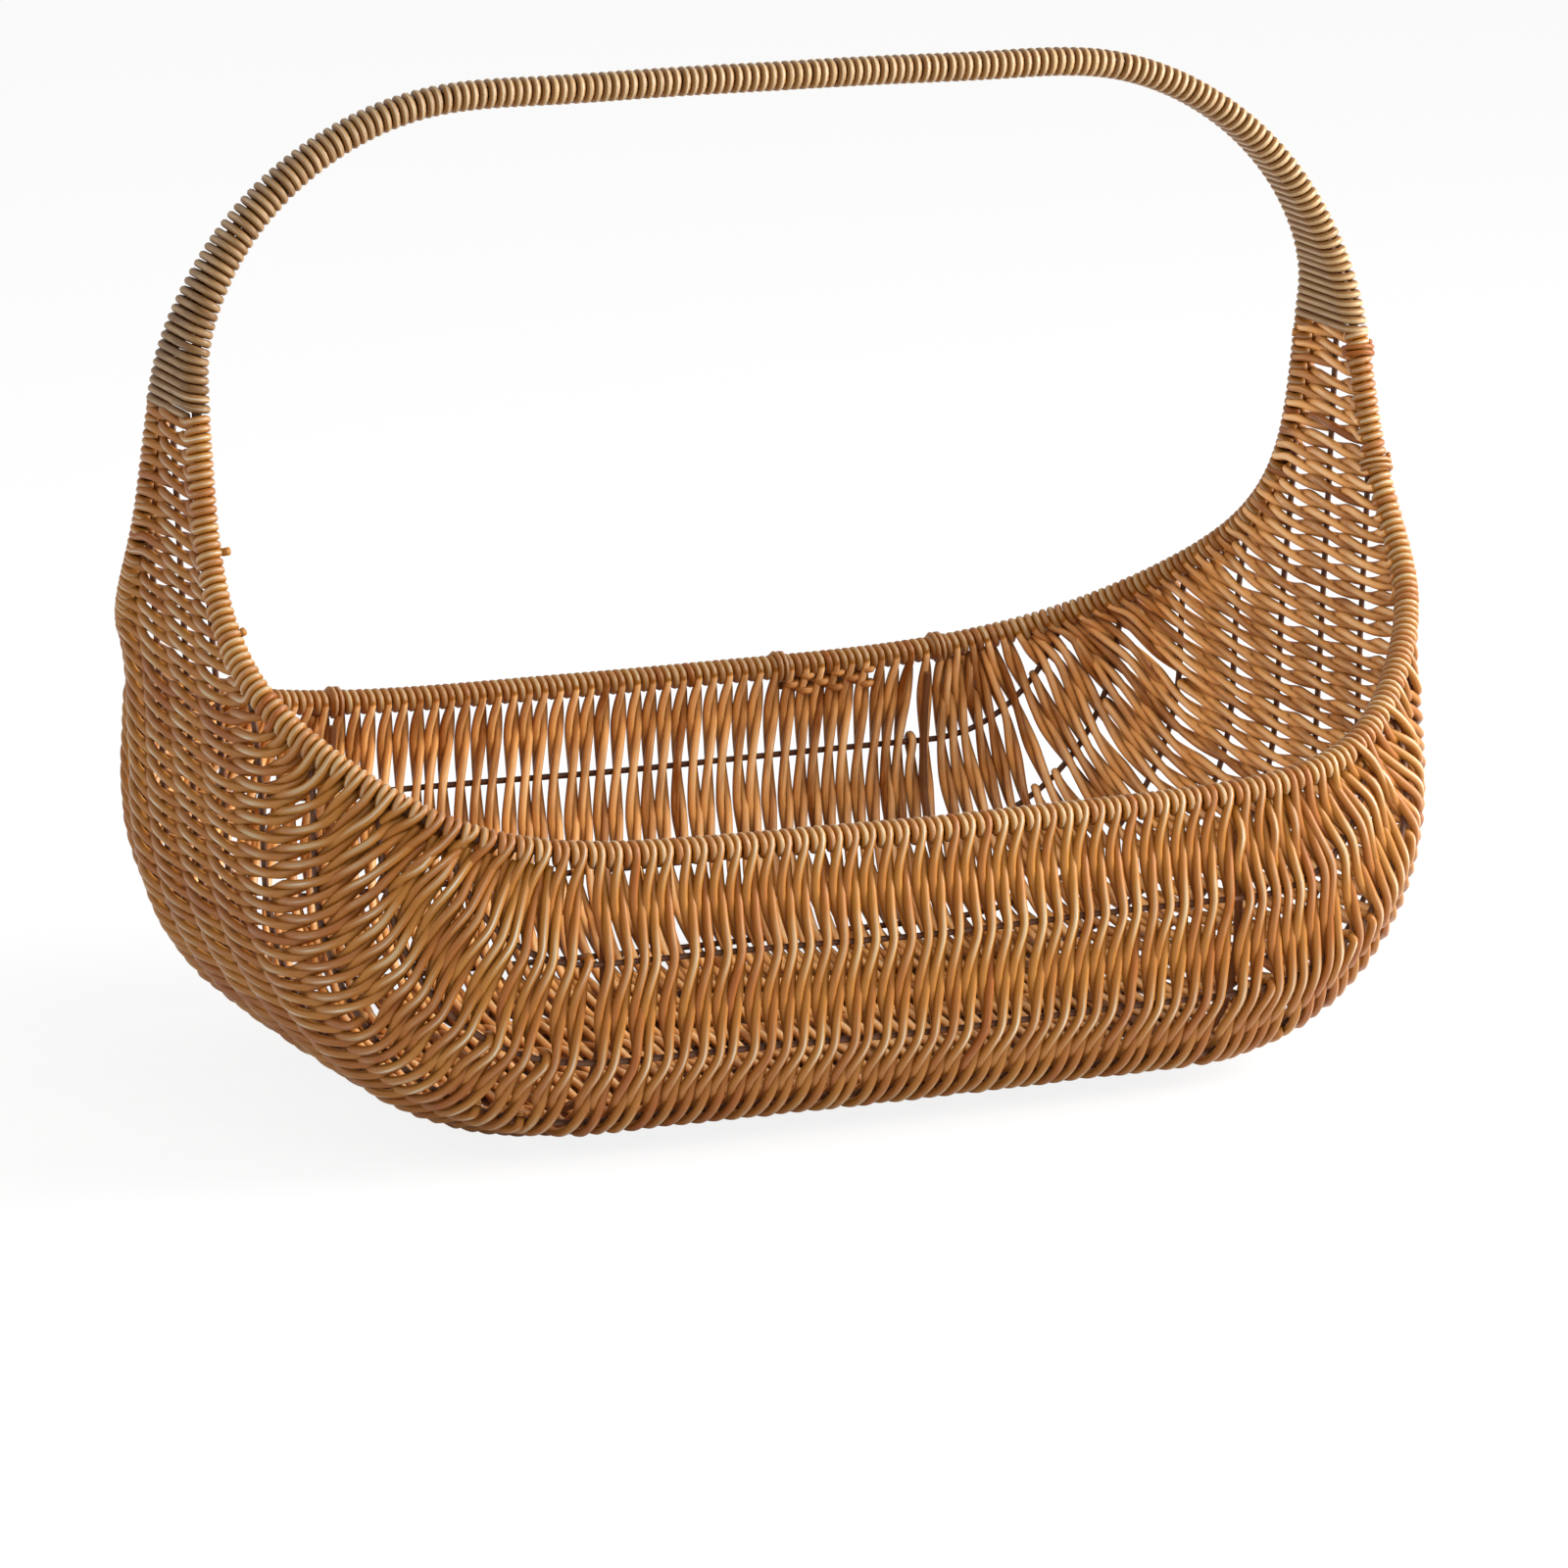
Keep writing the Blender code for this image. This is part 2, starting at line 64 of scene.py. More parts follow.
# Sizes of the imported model, in metres
STRAND_RADIUS = 0.0013
ROD_RADIUS = 0.0015
RIB_RADIUS = 0.0010
SEAT_GAP = 0.0003
RIB_GAP = 0.0004
FOOT_HALF_LENGTH = 0.1970
FOOT_HEIGHT = 0.2204
FOOT_SPREAD = 0.0160
HANDLE_HEIGHT = 0.3121
RIM_HALF_WIDTH = 0.1190
RIM_LOW_HEIGHT = 0.0976
KEEL_TOP_HALF_LENGTH = 0.1985
END_HALF_LENGTH = 0.1931
STRAIGHT_HALF_LENGTH = 0.1060
END_CORNER_LENGTH = 0.0835
END_CORNER_HEIGHT = 0.0842
FLAT_HALF_WIDTH = 0.0450
SIDE_BULGE = 0.0063
RIBS_PER_SIDE = 5
WIDEST_SPACING_SHARE = 0.1672423
BOTTOM_HEIGHT = RIB_RADIUS + 2 * STRAND_RADIUS
ROD_SPREAD = ROD_RADIUS + SEAT_GAP / 2
WINDING_RADIUS = ROD_RADIUS + RIB_GAP + STRAND_RADIUS
WINDING_START = SEAT_GAP + STRAND_RADIUS
RIM_CLEARANCE = WINDING_RADIUS + STRAND_RADIUS + RIB_RADIUS

RIM_SHARES = (
    (0.997, 0.142, 1.000),
    (1.004, 0.255, 0.666),
    (0.985, 0.487, 0.394),
    (0.907, 0.691, 0.235),
    (0.723, 0.940, 0.066),
    (0.434, 0.992, 0.007),
    (0.171, 0.996, 0.002),
    (0.000, 1.000, 0.000),
)
HANDLE_SHARES = (
    (0.988, 0.640, 0.190),
    (0.962, 0.390, 0.355),
    (0.884, 0.180, 0.615),
    (0.760, 0.060, 0.835),
    (0.590, 0.000, 0.975),
    (0.388, 0.000, 0.996),
    (0.196, 0.000, 1.000),
    (0.000, 0.000, 1.000),
)
ROW_RIM_SHARES = (0.0, 0.20, 0.45, 0.69, 0.76, 0.88, 1.0)
ROW_KEEL_SHARES = (0.0, 0.15, 0.33, 0.51, 0.60, 0.78, 1.0)
SQUARE_PLACE_SHARES = (0.0, 0.45, 0.75, 1.0)
SQUARENESS = (2.0, 1.75, 2.6, 3.5)
SPACING_PLACE_SHARES = (0.0, 0.19, 0.43, 0.70, 1.0)
SPACING_SHARES = (0.68, 0.77, 0.83, 0.875, 1.0)

# Rows: their spacing at the rims, in a filled fan, in one too wide to leave, and the least
PAIR_PITCH = 0.00552
HALF_PITCH = PAIR_PITCH / 2
RIM_SHIFT = PAIR_PITCH / 8
FILLED_PITCH = 0.0050
WIDE_PITCH = 0.0061
LEAST_PITCH = 0.0043
PUSH_ROUNDS = 3
SETTLE_ROUNDS = 24
SETTLE_PULL = 0.6
SHIFT_SIZE = 0.00050

# Short rows: the most side by side, the share that is tucked in at a rim and where that ends
MOST_SHORT = 2
OWED_START = 0.5
OWED_MOST = 1.5
TUCKED_SHARE = 0.85
TUCK_REACH = 0.0042

# Rows lean towards the feet in the fans, around this place counted from a foot
LEAN = 0.0045
LEAN_PLACE = 0.1600
LEAN_REACH = 0.0520

# Rows of the front wall part where a cross frame shows between them from outside
PART_WIDTH = 0.0034
PART_SPREAD = 0.0160
PART_SHIFT = 0.0026

# Canes: the part of a rib space past the last rib that has room for one more half turn, the
# radius in the wall, and how far the two canes of a pair stand apart between the ribs
LEAD_SHARE = 0.42
WALL_CANE_RADIUS = 0.00142
RIM_CANE_LENGTH = 0.0060
TIGHT_OFFSET = 0.00155
OFFSET_SHARE = 0.28
STRAIGHT_SHARE = 0.8
# The photograph's line of sight, along which a pair's canes lie one behind the other at the ribs
SIGHT_LINE = (0.387, 0.888, -0.250)
BEHIND_SOFT = 0.02
BEHIND_LIMIT = 0.60
BEHIND_FADE = 0.009
# Canes of the front wall sway to one side in each bay, less where the wall turns away
FRONT_SWAY = 0.0025
FRONT_SWAY_RANGE = (0.7, 1.2)
FRONT_FADE = (0.45, 0.85)
# Random drift of a pair along the wall and through it: size, and period in samples
DRIFT = (0.00028, 12)
HEIGHT_DRIFT = (0.00016, 9)
# Painted shade and highlight by how high a cane lies: the share of its contrast that it keeps at
# any height, and how high its turns at the rims count
DEPTH_SHADE_SHARE = 0.72
RIM_SHADE_HEIGHT = 0.90

# Steps and samples of the surface, the lines and their skins
SAMPLES = 240
HALF_PLACES = 354
HALF_SHARES = 161
WALL_BLEND = 0.0050
RIM_BLEND = 0.0075
PLACE_BLEND = 2.0
BODY_STEP = 0.0024
LEAST_POINTS = 8
LATERAL_STEP = 0.0012
NEAR_RIM = 6 * LATERAL_STEP
SHARE_STEP = 0.01
RIB_STEP = 0.0040
TUBE_SIDES = 8
WRAP_STEPS = 12
HAIRPIN_STEPS = 6
SOFTEN_ROUNDS = 2
WEAVE_PIECES = 8

# Lashings over the rims, with the place along the rim, the side, the turns and the tone
LASHING_RADIUS = 0.0009
LASHING_PITCH = 2.2 * LASHING_RADIUS
LASHINGS = (
    (0.2140, 1, 2.2, 0.75),
    (0.3716, 1, 2.2, 0.60),
    (0.4290, 1, 2.2, 0.75),
    (0.5932, -1, 2.2, 0.65),
    (0.6306, -1, 2.0, 1.20),
)
# Loose ends of canes, with the place along the rim, the side and the length
LOOSE_ENDS = ((0.0380, -1, 0.0040), (0.0655, -1, 0.0030), (0.6285, 1, 0.0025))
LOOSE_ALONG = 0.8
LOOSE_INTO = 0.6
LOOSE_CURL = 0.5
# Short canes woven in along the back rim, with the places they run between
PATCH_PLACES = (0.3735, 0.4050)
PATCH_SHARES = (0.986, 0.972, 0.958)
PATCH_STEP = PAIR_PITCH / 6

# Handle winding, whose tone is darker over a length from the left foot as painted shade
TURN_PITCH = 0.00292
TURN_POINTS = 20
TURN_DRIFT = (0.00016, 1.5 * TURN_POINTS)
FLAT_SHARE = 1 / 6
SHADED_LENGTH = 0.190
HANDLE_TONE = 0.30
SHADED_TONE = 0.55

# Tones of the canes, from 0 to 1: middle and spread of the weave's, and of the small pieces
WEAVE_TONE = (0.5, 0.24)
LOOSE_TONE = 0.2
PATCH_TONE = 0.6
SMALL_HUE = 0.3
EVEN_MARKS = (0.5, 0.5, 0.0)
# Longest start of a cane's run through the fibre pattern, and the step for small pieces
RUN_START = 50
SMALL_RUN_STEP = 0.1

# Cane surface: places of the colours from the inner side over the flanks to the crown, the
# stretch and detail of its patterns, and how much each of them darkens the skin
# The colours paint light and shade: painted shade on the flanks, painted highlights on the crown
# and on the middle of the inner side
CANE_PLACES = (0.02, 0.15, 0.46, 0.89, 0.970, 0.998)
FIBRES = ((9.0, 90.0, 1.0), 4.0)
STREAKS = ((3.0, 22.0, 1.0), 3.0)
PATCHES = ((0.4, 34.0, 1.0), 2.0)
DARKENING = (1.2, 1.1, 1.5)
TONE_GAIN = 1.1
TONE_START = -0.28
WARMTH = ((1.0, 0.93, 0.84, 1), (1.06, 1.04, 1.0, 1))
CANE_ROUGHNESS = (0.30, 0.28)
CANE_RELIEF = (0.6, 0.4)
CANE_BUMP = (0.55, 0.0003)
CANE_SPECULAR = 0.28

# Wire surface: scale and detail of its grain and of its wear, contrast, roughness and relief
GRAIN = (420.0, 5.0)
WEAR = (60.0, 3.0)
WEAR_CONTRAST = 2.5
WIRE_ROUGHNESS = (0.3, 0.4)
WIRE_BUMP = (0.3, 0.0002)
WIRE_METALLIC = 0.3

# Surroundings: a pale floor that glows to the camera, a white sky and three soft boxes
FLOOR_HALF_SIZE = 6.0
FLOOR_HEIGHT = -0.0004
FLOOR_COLOUR = (0.86, 0.85, 0.84, 1)
FLOOR_ROUGHNESS = 0.9
FLOOR_GLOW = 0.86
WHITE = (1, 1, 1, 1)
SKY_LIGHT = 0.63
# Each box with its place, the point it is aimed at, its width and its power in watts
BOXES = {
    "front_box": ((0.1, -1.6, 1.3), (0, 0, 0.1), 1.0, 11),
    "right_box": ((1.7, -0.72, 0.88), (0.05, 0, 0.12), 1.1, 84),
    "left_box": ((-1.7, 0.35, 0.75), (0, 0, 0.12), 1.0, 8),
}

# Camera fitted to the photograph: its direction from the basket, its distance to a target, its
# focal length in pixels, the picture's middle and the pixel where the target is seen
CAMERA_AZIMUTH = -23.55
CAMERA_ELEVATION = 14.49
CAMERA_DISTANCE = 2.5
CAMERA_TARGET = (0.0, 0.0, 0.0055)
FOCAL_PIXELS = 8000.0
PICTURE_MIDDLE = 800
TARGET_PIXEL = (788.7, 1055)
FOCAL_LENGTH = 180.0

RANDOM = np.random.default_rng(7)


def arc_lengths(points):
    """Return the length along a polyline at each of its points."""
    steps = np.linalg.norm(np.diff(points, axis=0), axis=1)
    return np.concatenate([[0.0], np.cumsum(steps)])


def at_length(points, lengths, wanted):
    """Return the points of a polyline at the wanted lengths."""
    columns = [np.interp(wanted, lengths, points[:, axis]) for axis in range(points.shape[1])]
    return np.stack(columns, axis=-1)


def unit(vectors):
    """Return vectors scaled to length one."""
    return vectors / np.linalg.norm(vectors, axis=-1, keepdims=True)


def smooth_curve(knots, count):
    """Return points on the natural cubic curve through the knots."""
    knots = np.asarray(knots, dtype=float)
    place = arc_lengths(knots)
    gaps = np.diff(place)
    size = len(knots)
    matrix = np.eye(size)
    right = np.zeros_like(knots)
    for index in range(1, size - 1):
        matrix[index, index - 1] = gaps[index - 1]
        matrix[index, index] = 2 * (gaps[index - 1] + gaps[index])
        matrix[index, index + 1] = gaps[index]
        after = (knots[index + 1] - knots[index]) / gaps[index]
        before = (knots[index] - knots[index - 1]) / gaps[index - 1]
        right[index] = 6 * (after - before)
    bend = np.linalg.solve(matrix, right)
    wanted = np.linspace(0, place[-1], count)
    left = np.clip(np.searchsorted(place, wanted, side="right") - 1, 0, size - 2)
    gap = gaps[left][:, None]
    ahead = (place[left + 1] - wanted)[:, None]
    behind = (wanted - place[left])[:, None]
    return (
        (bend[left] * ahead ** 3 + bend[left + 1] * behind ** 3) / (6 * gap)
        + (knots[left] / gap - bend[left] * gap / 6) * ahead
        + (knots[left + 1] / gap - bend[left + 1] * gap / 6) * behind
    )


def mirrored_curve(half, count):
    """Smooth a half curve together with its mirror image and return the half."""
    half = np.asarray(half, dtype=float)
    other = half[::-1][1:] * np.array([-1.0, 1.0, 1.0])
    whole = smooth_curve(np.concatenate([half, other]), 2 * count - 1)
    return whole[:count]


def hoop_halves():
    """Return the rim half and the handle half of the back hoop, each from the foot."""
    rise = FOOT_HEIGHT - RIM_LOW_HEIGHT
    climb = HANDLE_HEIGHT - FOOT_HEIGHT
    rim = [
        (x * FOOT_HALF_LENGTH, y * RIM_HALF_WIDTH, RIM_LOW_HEIGHT + z * rise)
        for x, y, z in RIM_SHARES
    ]
    handle = [
        (x * FOOT_HALF_LENGTH, ROD_SPREAD + y * (FOOT_SPREAD - ROD_SPREAD),
         FOOT_HEIGHT + z * climb)
        for x, y, z in HANDLE_SHARES
    ]
    whole = mirrored_curve(handle[::-1] + rim, 4 * SAMPLES)
    foot = int(np.argmin(np.linalg.norm(whole - np.array(rim[0]), axis=1)))
    return whole[foot:], whole[:foot + 1][::-1]


RIM, HANDLE = hoop_halves()
RIM_LENGTHS = arc_lengths(RIM)
HANDLE_LENGTHS = arc_lengths(HANDLE)
RIM_HALF_LENGTH = RIM_LENGTHS[-1]
HANDLE_HALF_LENGTH = HANDLE_LENGTHS[-1]
END_LENGTH = float(np.interp(-STRAIGHT_HALF_LENGTH, -RIM[:, 0], RIM_LENGTHS))
FRAME_PLACES = (END_LENGTH, 2 * RIM_HALF_LENGTH - END_LENGTH)


def keel_profile():
    """Return the end wall, the corner and the bottom of the keel in the XZ plane."""
    corner = np.linspace(0, math.pi / 2, SAMPLES)
    centre = END_HALF_LENGTH - END_CORNER_LENGTH
    wall = np.linspace([KEEL_TOP_HALF_LENGTH, FOOT_HEIGHT],
                       [END_HALF_LENGTH, BOTTOM_HEIGHT + END_CORNER_HEIGHT], SAMPLES)[:-1]
    bend = np.stack([
        centre + END_CORNER_LENGTH * np.cos(corner),
        BOTTOM_HEIGHT + END_CORNER_HEIGHT * (1 - np.sin(corner)),
    ], axis=-1)
    bottom = np.array([[0.0, BOTTOM_HEIGHT]])
    return np.concatenate([wall, bend, bottom])


KEEL = keel_profile()
KEEL_LENGTHS = arc_lengths(KEEL)
KEEL_END_LENGTH = KEEL_LENGTHS[-1] - STRAIGHT_HALF_LENGTH


def keel_point(station):
    """Return X and Z where the row at a station of the rim crosses the keel."""
    share = station / END_LENGTH
    if share < 1:
        along = KEEL_END_LENGTH * np.interp(share, ROW_RIM_SHARES, ROW_KEEL_SHARES)
    else:
        reach = np.interp(station, RIM_LENGTHS, RIM[:, 0])
        along = KEEL_LENGTHS[-1] - reach
    return at_length(KEEL, KEEL_LENGTHS, along)


def row_curve(station):
    """Return the wall's middle line from the keel to the rim, for positive X and Y."""
    rim = at_length(RIM, RIM_LENGTHS, station)
    keel = keel_point(station)
    share = min(station / END_LENGTH, 1.0)
    square = np.interp(share, SQUARE_PLACE_SHARES, SQUARENESS)
    turn = np.linspace(0, math.pi / 2, SAMPLES)
    depth = np.cos(turn) ** (2 / square)
    flat = share * FLAT_HALF_WIDTH * rim[1] / RIM_HALF_WIDTH
    across = flat + (rim[1] - flat) * np.sin(turn) ** (2 / square)
    across = across + share * SIDE_BULGE * (rim[1] / RIM_HALF_WIDTH) * 4 * depth * (1 - depth)
    along = rim[0] + (keel[0] - rim[0]) * depth
    height = rim[2] + (keel[1] - rim[2]) * depth
    row = np.stack([along, across, height], axis=-1)
    middle = np.array([[keel[0], 0.0, keel[1]]])
    return np.concatenate([middle, row]) if flat > 0 else row


RIB_SPACING = WIDEST_SPACING_SHARE * arc_lengths(row_curve(RIM_HALF_LENGTH))[-1]


def rib_spacing(station):
    """Return the spacing of the ribs along the row at a station."""
    share = min(station / END_LENGTH, 1.0)
    return RIB_SPACING * float(np.interp(share, SPACING_PLACE_SHARES, SPACING_SHARES))


def smoothed(values, width):
    """Return values smoothed along their first axis by a bell of a width in samples."""
    reach = int(3 * width)
    bell = np.exp(-0.5 * (np.arange(-reach, reach + 1) / width) ** 2)
    bell = bell / bell.sum()
    before = 2 * values[:1] - values[reach:0:-1]
    after = 2 * values[-1:] - values[-2:-reach - 2:-1]
    padded = np.concatenate([before, values, after])
    return np.apply_along_axis(lambda line: np.convolve(line, bell, "valid"), 0, padded)


class Wall:
    """The middle surface of the wall, read by places along the rims and shares across.

    Places are lengths along the rims from the left foot to the right one.  Shares run
    from -1 at the front rim through 0 at the keel to 1 at the back rim.  The wall also
    knows, for each place, the share from one rib to the next, the length from keel to
    rim, and the lengths along each rib.
    """

    def __init__(self):
        stations = np.linspace(0, RIM_HALF_LENGTH, HALF_PLACES)
        shares = np.linspace(0, 1, HALF_SHARES)
        half, self.reaches, ribs = [], [], []
        for station in stations:
            row = row_curve(station)
            lengths = arc_lengths(row)
            half.append(at_length(row, lengths, shares * lengths[-1]))
            self.reaches.append(lengths[-1])
            ribs.append(rib_spacing(station) / lengths[-1])
        half = np.array(half)
        both = np.concatenate([half[:, :0:-1] * (1.0, -1.0, 1.0), half], axis=1)
        whole = np.concatenate([both * (-1.0, 1.0, 1.0), both[-2::-1]])
        self.step = stations[1] - stations[0]
        blend = WALL_BLEND / self.step
        self.grid = smoothed(whole, blend)
        self.places = np.arange(len(whole)) * self.step
        self.ribs = smoothed(np.array(ribs + ribs[-2::-1])[:, None], blend)[:, 0]
        self.reaches = np.array(self.reaches + self.reaches[-2::-1])
        self.lines = {}
        for rib in range(-RIBS_PER_SIDE, RIBS_PER_SIDE + 1):
            line = self.point(self.places, np.clip(self.ribs * rib, -1, 1))
            self.lines[rib] = arc_lengths(line)

    def point(self, places, shares):
        """Return points of the surface, which stay just inside its last cells."""
        row = np.clip(np.asarray(places) / self.step, 0, len(self.grid) - 1.001)
        column = np.clip((np.asarray(shares) + 1) * (HALF_SHARES - 1), 0, 2 * HALF_SHARES - 2.001)
        row_low, column_low = row.astype(int), column.astype(int)
        row_part, column_part = (row - row_low)[..., None], (column - column_low)[..., None]
        corner = self.grid[row_low, column_low]
        along = self.grid[row_low + 1, column_low]
        across = self.grid[row_low, column_low + 1]
        opposite = self.grid[row_low + 1, column_low + 1]
        return (corner * (1 - row_part) + along * row_part) * (1 - column_part) + \
            (across * (1 - row_part) + opposite * row_part) * column_part


def rim_points(places, side):
    """Return points of a rim's centre line at places counted from the left foot."""
    places = np.clip(places, 0.0, 2 * RIM_HALF_LENGTH)
    left = places < RIM_HALF_LENGTH
    stations = np.where(left, places, 2 * RIM_HALF_LENGTH - places)
    found = at_length(RIM, RIM_LENGTHS, stations)
    found[:, 0] *= np.where(left, -1.0, 1.0)
    found[:, 1] *= side
    return found


WALL = Wall()


class Row:
    """One pair of canes: its place on the rims and where it crosses each rib.

    A full row reaches both rims.  A short one stops at the ribs given, front and back,
    or goes on to a rim where it is tucked under the rim's winding.  A row's levels are
    the ribs that it crosses, and its lead the half turns from the last one to the rim.
    """

    def __init__(self, place, stops=None, tucked=(False, False)):
        self.place = place
        self.short = stops is not None
        self.tucked = tucked
        self.reach = float(np.interp(place, WALL.places, WALL.reaches))
        self.rib_share = float(np.interp(place, WALL.places, WALL.ribs))
        self.crossed = crossed_ribs(self.reach, self.rib_share)
        self.rest = 1 / self.rib_share - self.crossed
        self.lead = 1 if self.rest > LEAD_SHARE else 0
        self.levels = list(range(-self.crossed, self.crossed + 1))
        if self.short:
            self.levels = list(range(-stops[0], stops[1] + 1))
        self.places = {level: place for level in self.levels}
        self.pitches = {level: PAIR_PITCH for level in self.levels}

    def ends(self):
        """Return the shares at which the row starts and stops."""
        limits = []
        for side, level, tucked in zip((-1, 1), (self.levels[0], self.levels[-1]), self.tucked):
            limit = 1 - TUCK_REACH / self.reach if tucked else 1.0
            limits.append(level * self.rib_share if self.short and not tucked else side * limit)
        return limits

    def knots(self, values, first, last):
        """Return shares along the row, with the values at the ribs and at the ends."""
        shares = [level * self.rib_share for level in self.levels]
        known = list(values)
        if not self.short or self.tucked[0]:
            shares, known = [self.ends()[0], *shares], [first, *known]
        if not self.short or self.tucked[1]:
            shares, known = [*shares, self.ends()[1]], [*known, last]
        return shares, known

    def read(self, shares, values, rim_value):
        """Return a value known at the ribs, and at the rims, along the row."""
        return np.interp(shares, *self.knots([values[level] for level in self.levels],
                                             rim_value, rim_value))

    def twist(self, shares):
        """Return the twist of the pair along the row, in half turns."""
        turns = [self.lead + self.crossed + level for level in self.levels]
        lead = self.lead
        if self.short:
            lead = 0.5 if self.rest < 1 else 1.5
        return np.interp(shares, *self.knots(turns, turns[0] - lead, turns[-1] + lead))


def crossed_ribs(reach, rib_share):
    """Return how many ribs a row crosses on each side of the keel."""
    return int(min(RIBS_PER_SIDE, max(0.0, reach - RIM_CLEARANCE) / (rib_share * reach)))


def leaning(places):
    """Return the places where rows cross the ribs, drawn towards the feet in the fans."""
    places = np.asarray(places)
    from_foot = np.minimum(places, 2 * RIM_HALF_LENGTH - places)
    apart = np.clip((from_foot - LEAN_PLACE) / LEAN_REACH, -1, 1)
    towards = np.where(places < RIM_HALF_LENGTH, -LEAN, LEAN)
    return places + towards * np.cos(math.pi / 2 * apart) ** 2


def short_rows(places):
    """Return the short rows that fill the fans between the full rows at the given places."""
    middles = (places[:-1] + places[1:]) / 2
    crossed = np.array([Row(place).crossed for place in middles])
    most = np.full((2, len(middles)), MOST_SHORT)
    reached = []
    for rib in range(RIBS_PER_SIDE + 1):
        width = np.diff(np.interp(leaning(places), WALL.places, WALL.lines[rib]))
        wide = (crossed >= rib) & (width > WIDE_PITCH)
        wanted = np.where(wide, np.clip(width / FILLED_PITCH - 1, 0, MOST_SHORT), 0)
        for side in (0, 1):
            owed = OWED_START * (side + rib) if rib else OWED_START
            for gap, extra in enumerate(wanted):
                owed += extra
                made = min(int(owed), most[side, gap], math.ceil(extra))
                if 0 < rib <= crossed[gap]:
                    made = max(made, most[side, gap] - 1)
                owed = min(owed - made, OWED_MOST)
                most[side, gap] = made
        reached.append(most.copy())
    rows = []
    for gap, place in enumerate(middles):
        total = min(reached[1][:, gap])
        for number in range(total):
            stops = [sum(level[side, gap] > number for level in reached) - 1 for side in (0, 1)]
            tucked = [stop >= crossed[gap] and RANDOM.random() < TUCKED_SHARE for stop in stops]
            shift = (number + 1) / (total + 1) - 0.5
            rows.append(Row(place + shift * (places[1] - places[0]), stops, tucked))
    return rows


def parted(lengths, line):
    """Move rows of the front wall aside where a cross frame shows between them."""
    for place in FRAME_PLACES:
        centre = np.interp(place - PART_SHIFT, WALL.places, line)
        after = int(np.searchsorted(lengths, centre))
        if not 0 < after < len(lengths):
            continue
        shift = centre - (lengths[after - 1] + lengths[after]) / 2
        lengths = lengths + shift * np.exp(-np.abs(lengths - centre) / PART_SPREAD)
        apart = lengths - centre
        lengths = lengths + np.sign(apart) * PART_WIDTH / 2 * np.exp(-np.abs(apart) / PART_SPREAD)
    return lengths


def settle(rows):
    """Space the rows evenly where they cross each rib, with small random shifts."""
    for rib in range(-RIBS_PER_SIDE, RIBS_PER_SIDE + 1):
        crossing = sorted((row for row in rows if rib in row.levels), key=lambda row: row.place)
        if len(crossing) < 3:
            continue
        line = WALL.lines[rib]
        nominal = np.interp(leaning([row.place for row in crossing]), WALL.places, line)
        lengths = nominal.copy()
        for _ in range(SETTLE_ROUNDS):
            middle = (lengths[:-2] + lengths[2:]) / 2
            lengths[1:-1] = lengths[1:-1] * (1 - SETTLE_PULL) + middle * SETTLE_PULL
        lengths = lengths + RANDOM.normal(0.0, SHIFT_SIZE, len(lengths))
        if rib < 0:
            lengths = parted(lengths, line)
        for _ in range(PUSH_ROUNDS):
            gap = np.diff(lengths)
            push = np.clip(LEAST_PITCH - gap, 0, None) / 2
            lengths[:-1] -= push
            lengths[1:] += push
        pitch = np.gradient(lengths)
        places = np.interp(lengths, line, WALL.places)
        for row, place, width in zip(crossing, places, pitch):
            row.places[rib] = place
            row.pitches[rib] = width


def smooth_step(value):
    """Return a smooth rise from 0 to 1."""
    value = np.clip(value, 0.0, 1.0)
    return value * value * (3 - 2 * value)


def wobble(count, size, period):
    """Return smooth random values of a given size along a line."""
    knots = max(3, int(count / period) + 3)
    values = RANDOM.normal(0.0, size, knots)
    return np.interp(np.linspace(0, knots - 1, count), np.arange(knots), values)


def rim_frame(row, side):
    """Return the directions outwards, up and along the rim where a row meets it."""
    near = np.array([row.place - LATERAL_STEP, row.place + LATERAL_STEP])
    ends = rim_points(near, side)
    along = unit(ends[1] - ends[0])
    shares = np.array([1 - NEAR_RIM / row.reach, 1.0]) * side
    step = np.diff(WALL.point(np.full(2, row.place), shares), axis=0)[0]
    up = unit(step - step.dot(along) * along)
    out = np.cross(up, along) * side
    return out, up, along


def circle(angles, first, second):
    """Return the directions at angles from the first direction towards the second."""
    return np.cos(angles)[:, None] * first + np.sin(angles)[:, None] * second


def rim_turn(row, side, shift, start, stop):
    """Return the winding round a rim between two angles, and its outward directions."""
    out, up, _ = rim_frame(row, side)
    centres = rim_points(row.place + np.linspace(*shift, WRAP_STEPS), side)
    radial = circle(np.radians(np.linspace(start, stop, WRAP_STEPS)), out, up)
    return centres + WINDING_RADIUS * radial, radial


def row_line(row):
    """Return a row's middle line with its sideways and outward directions and pitch."""
    start, stop = row.ends()
    count = max(LEAST_POINTS, int((stop - start) * row.reach / BODY_STEP))
    shares = np.linspace(start, stop, count)
    places = smoothed(row.read(shares, row.places, row.place)[:, None], PLACE_BLEND)[:, 0]
    if not row.short:
        places[[0, -1]] = row.place
    middle = WALL.point(places, shares)
    along = unit(np.gradient(middle, axis=0))
    change = WALL.point(places + LATERAL_STEP, shares) - WALL.point(places - LATERAL_STEP, shares)
    change = unit(change - np.sum(change * along, axis=1)[:, None] * along)
    pitch = row.read(shares, row.pitches, PAIR_PITCH)
    return shares, middle, change, unit(np.cross(along, change)), pitch


def front_share(normal):
    """Return how far a wall that faces this way belongs to the front, from 0 to 1."""
    return smooth_step((-normal[:, 1] - FRONT_FADE[0]) / (FRONT_FADE[1] - FRONT_FADE[0]))


def behind(lateral, normal):
    """Return the step sideways for each step outwards along the line of sight."""
    across, into = lateral @ np.array(SIGHT_LINE), normal @ np.array(SIGHT_LINE)
    return np.clip(across * into / (into ** 2 + BEHIND_SOFT), -BEHIND_LIMIT, BEHIND_LIMIT)


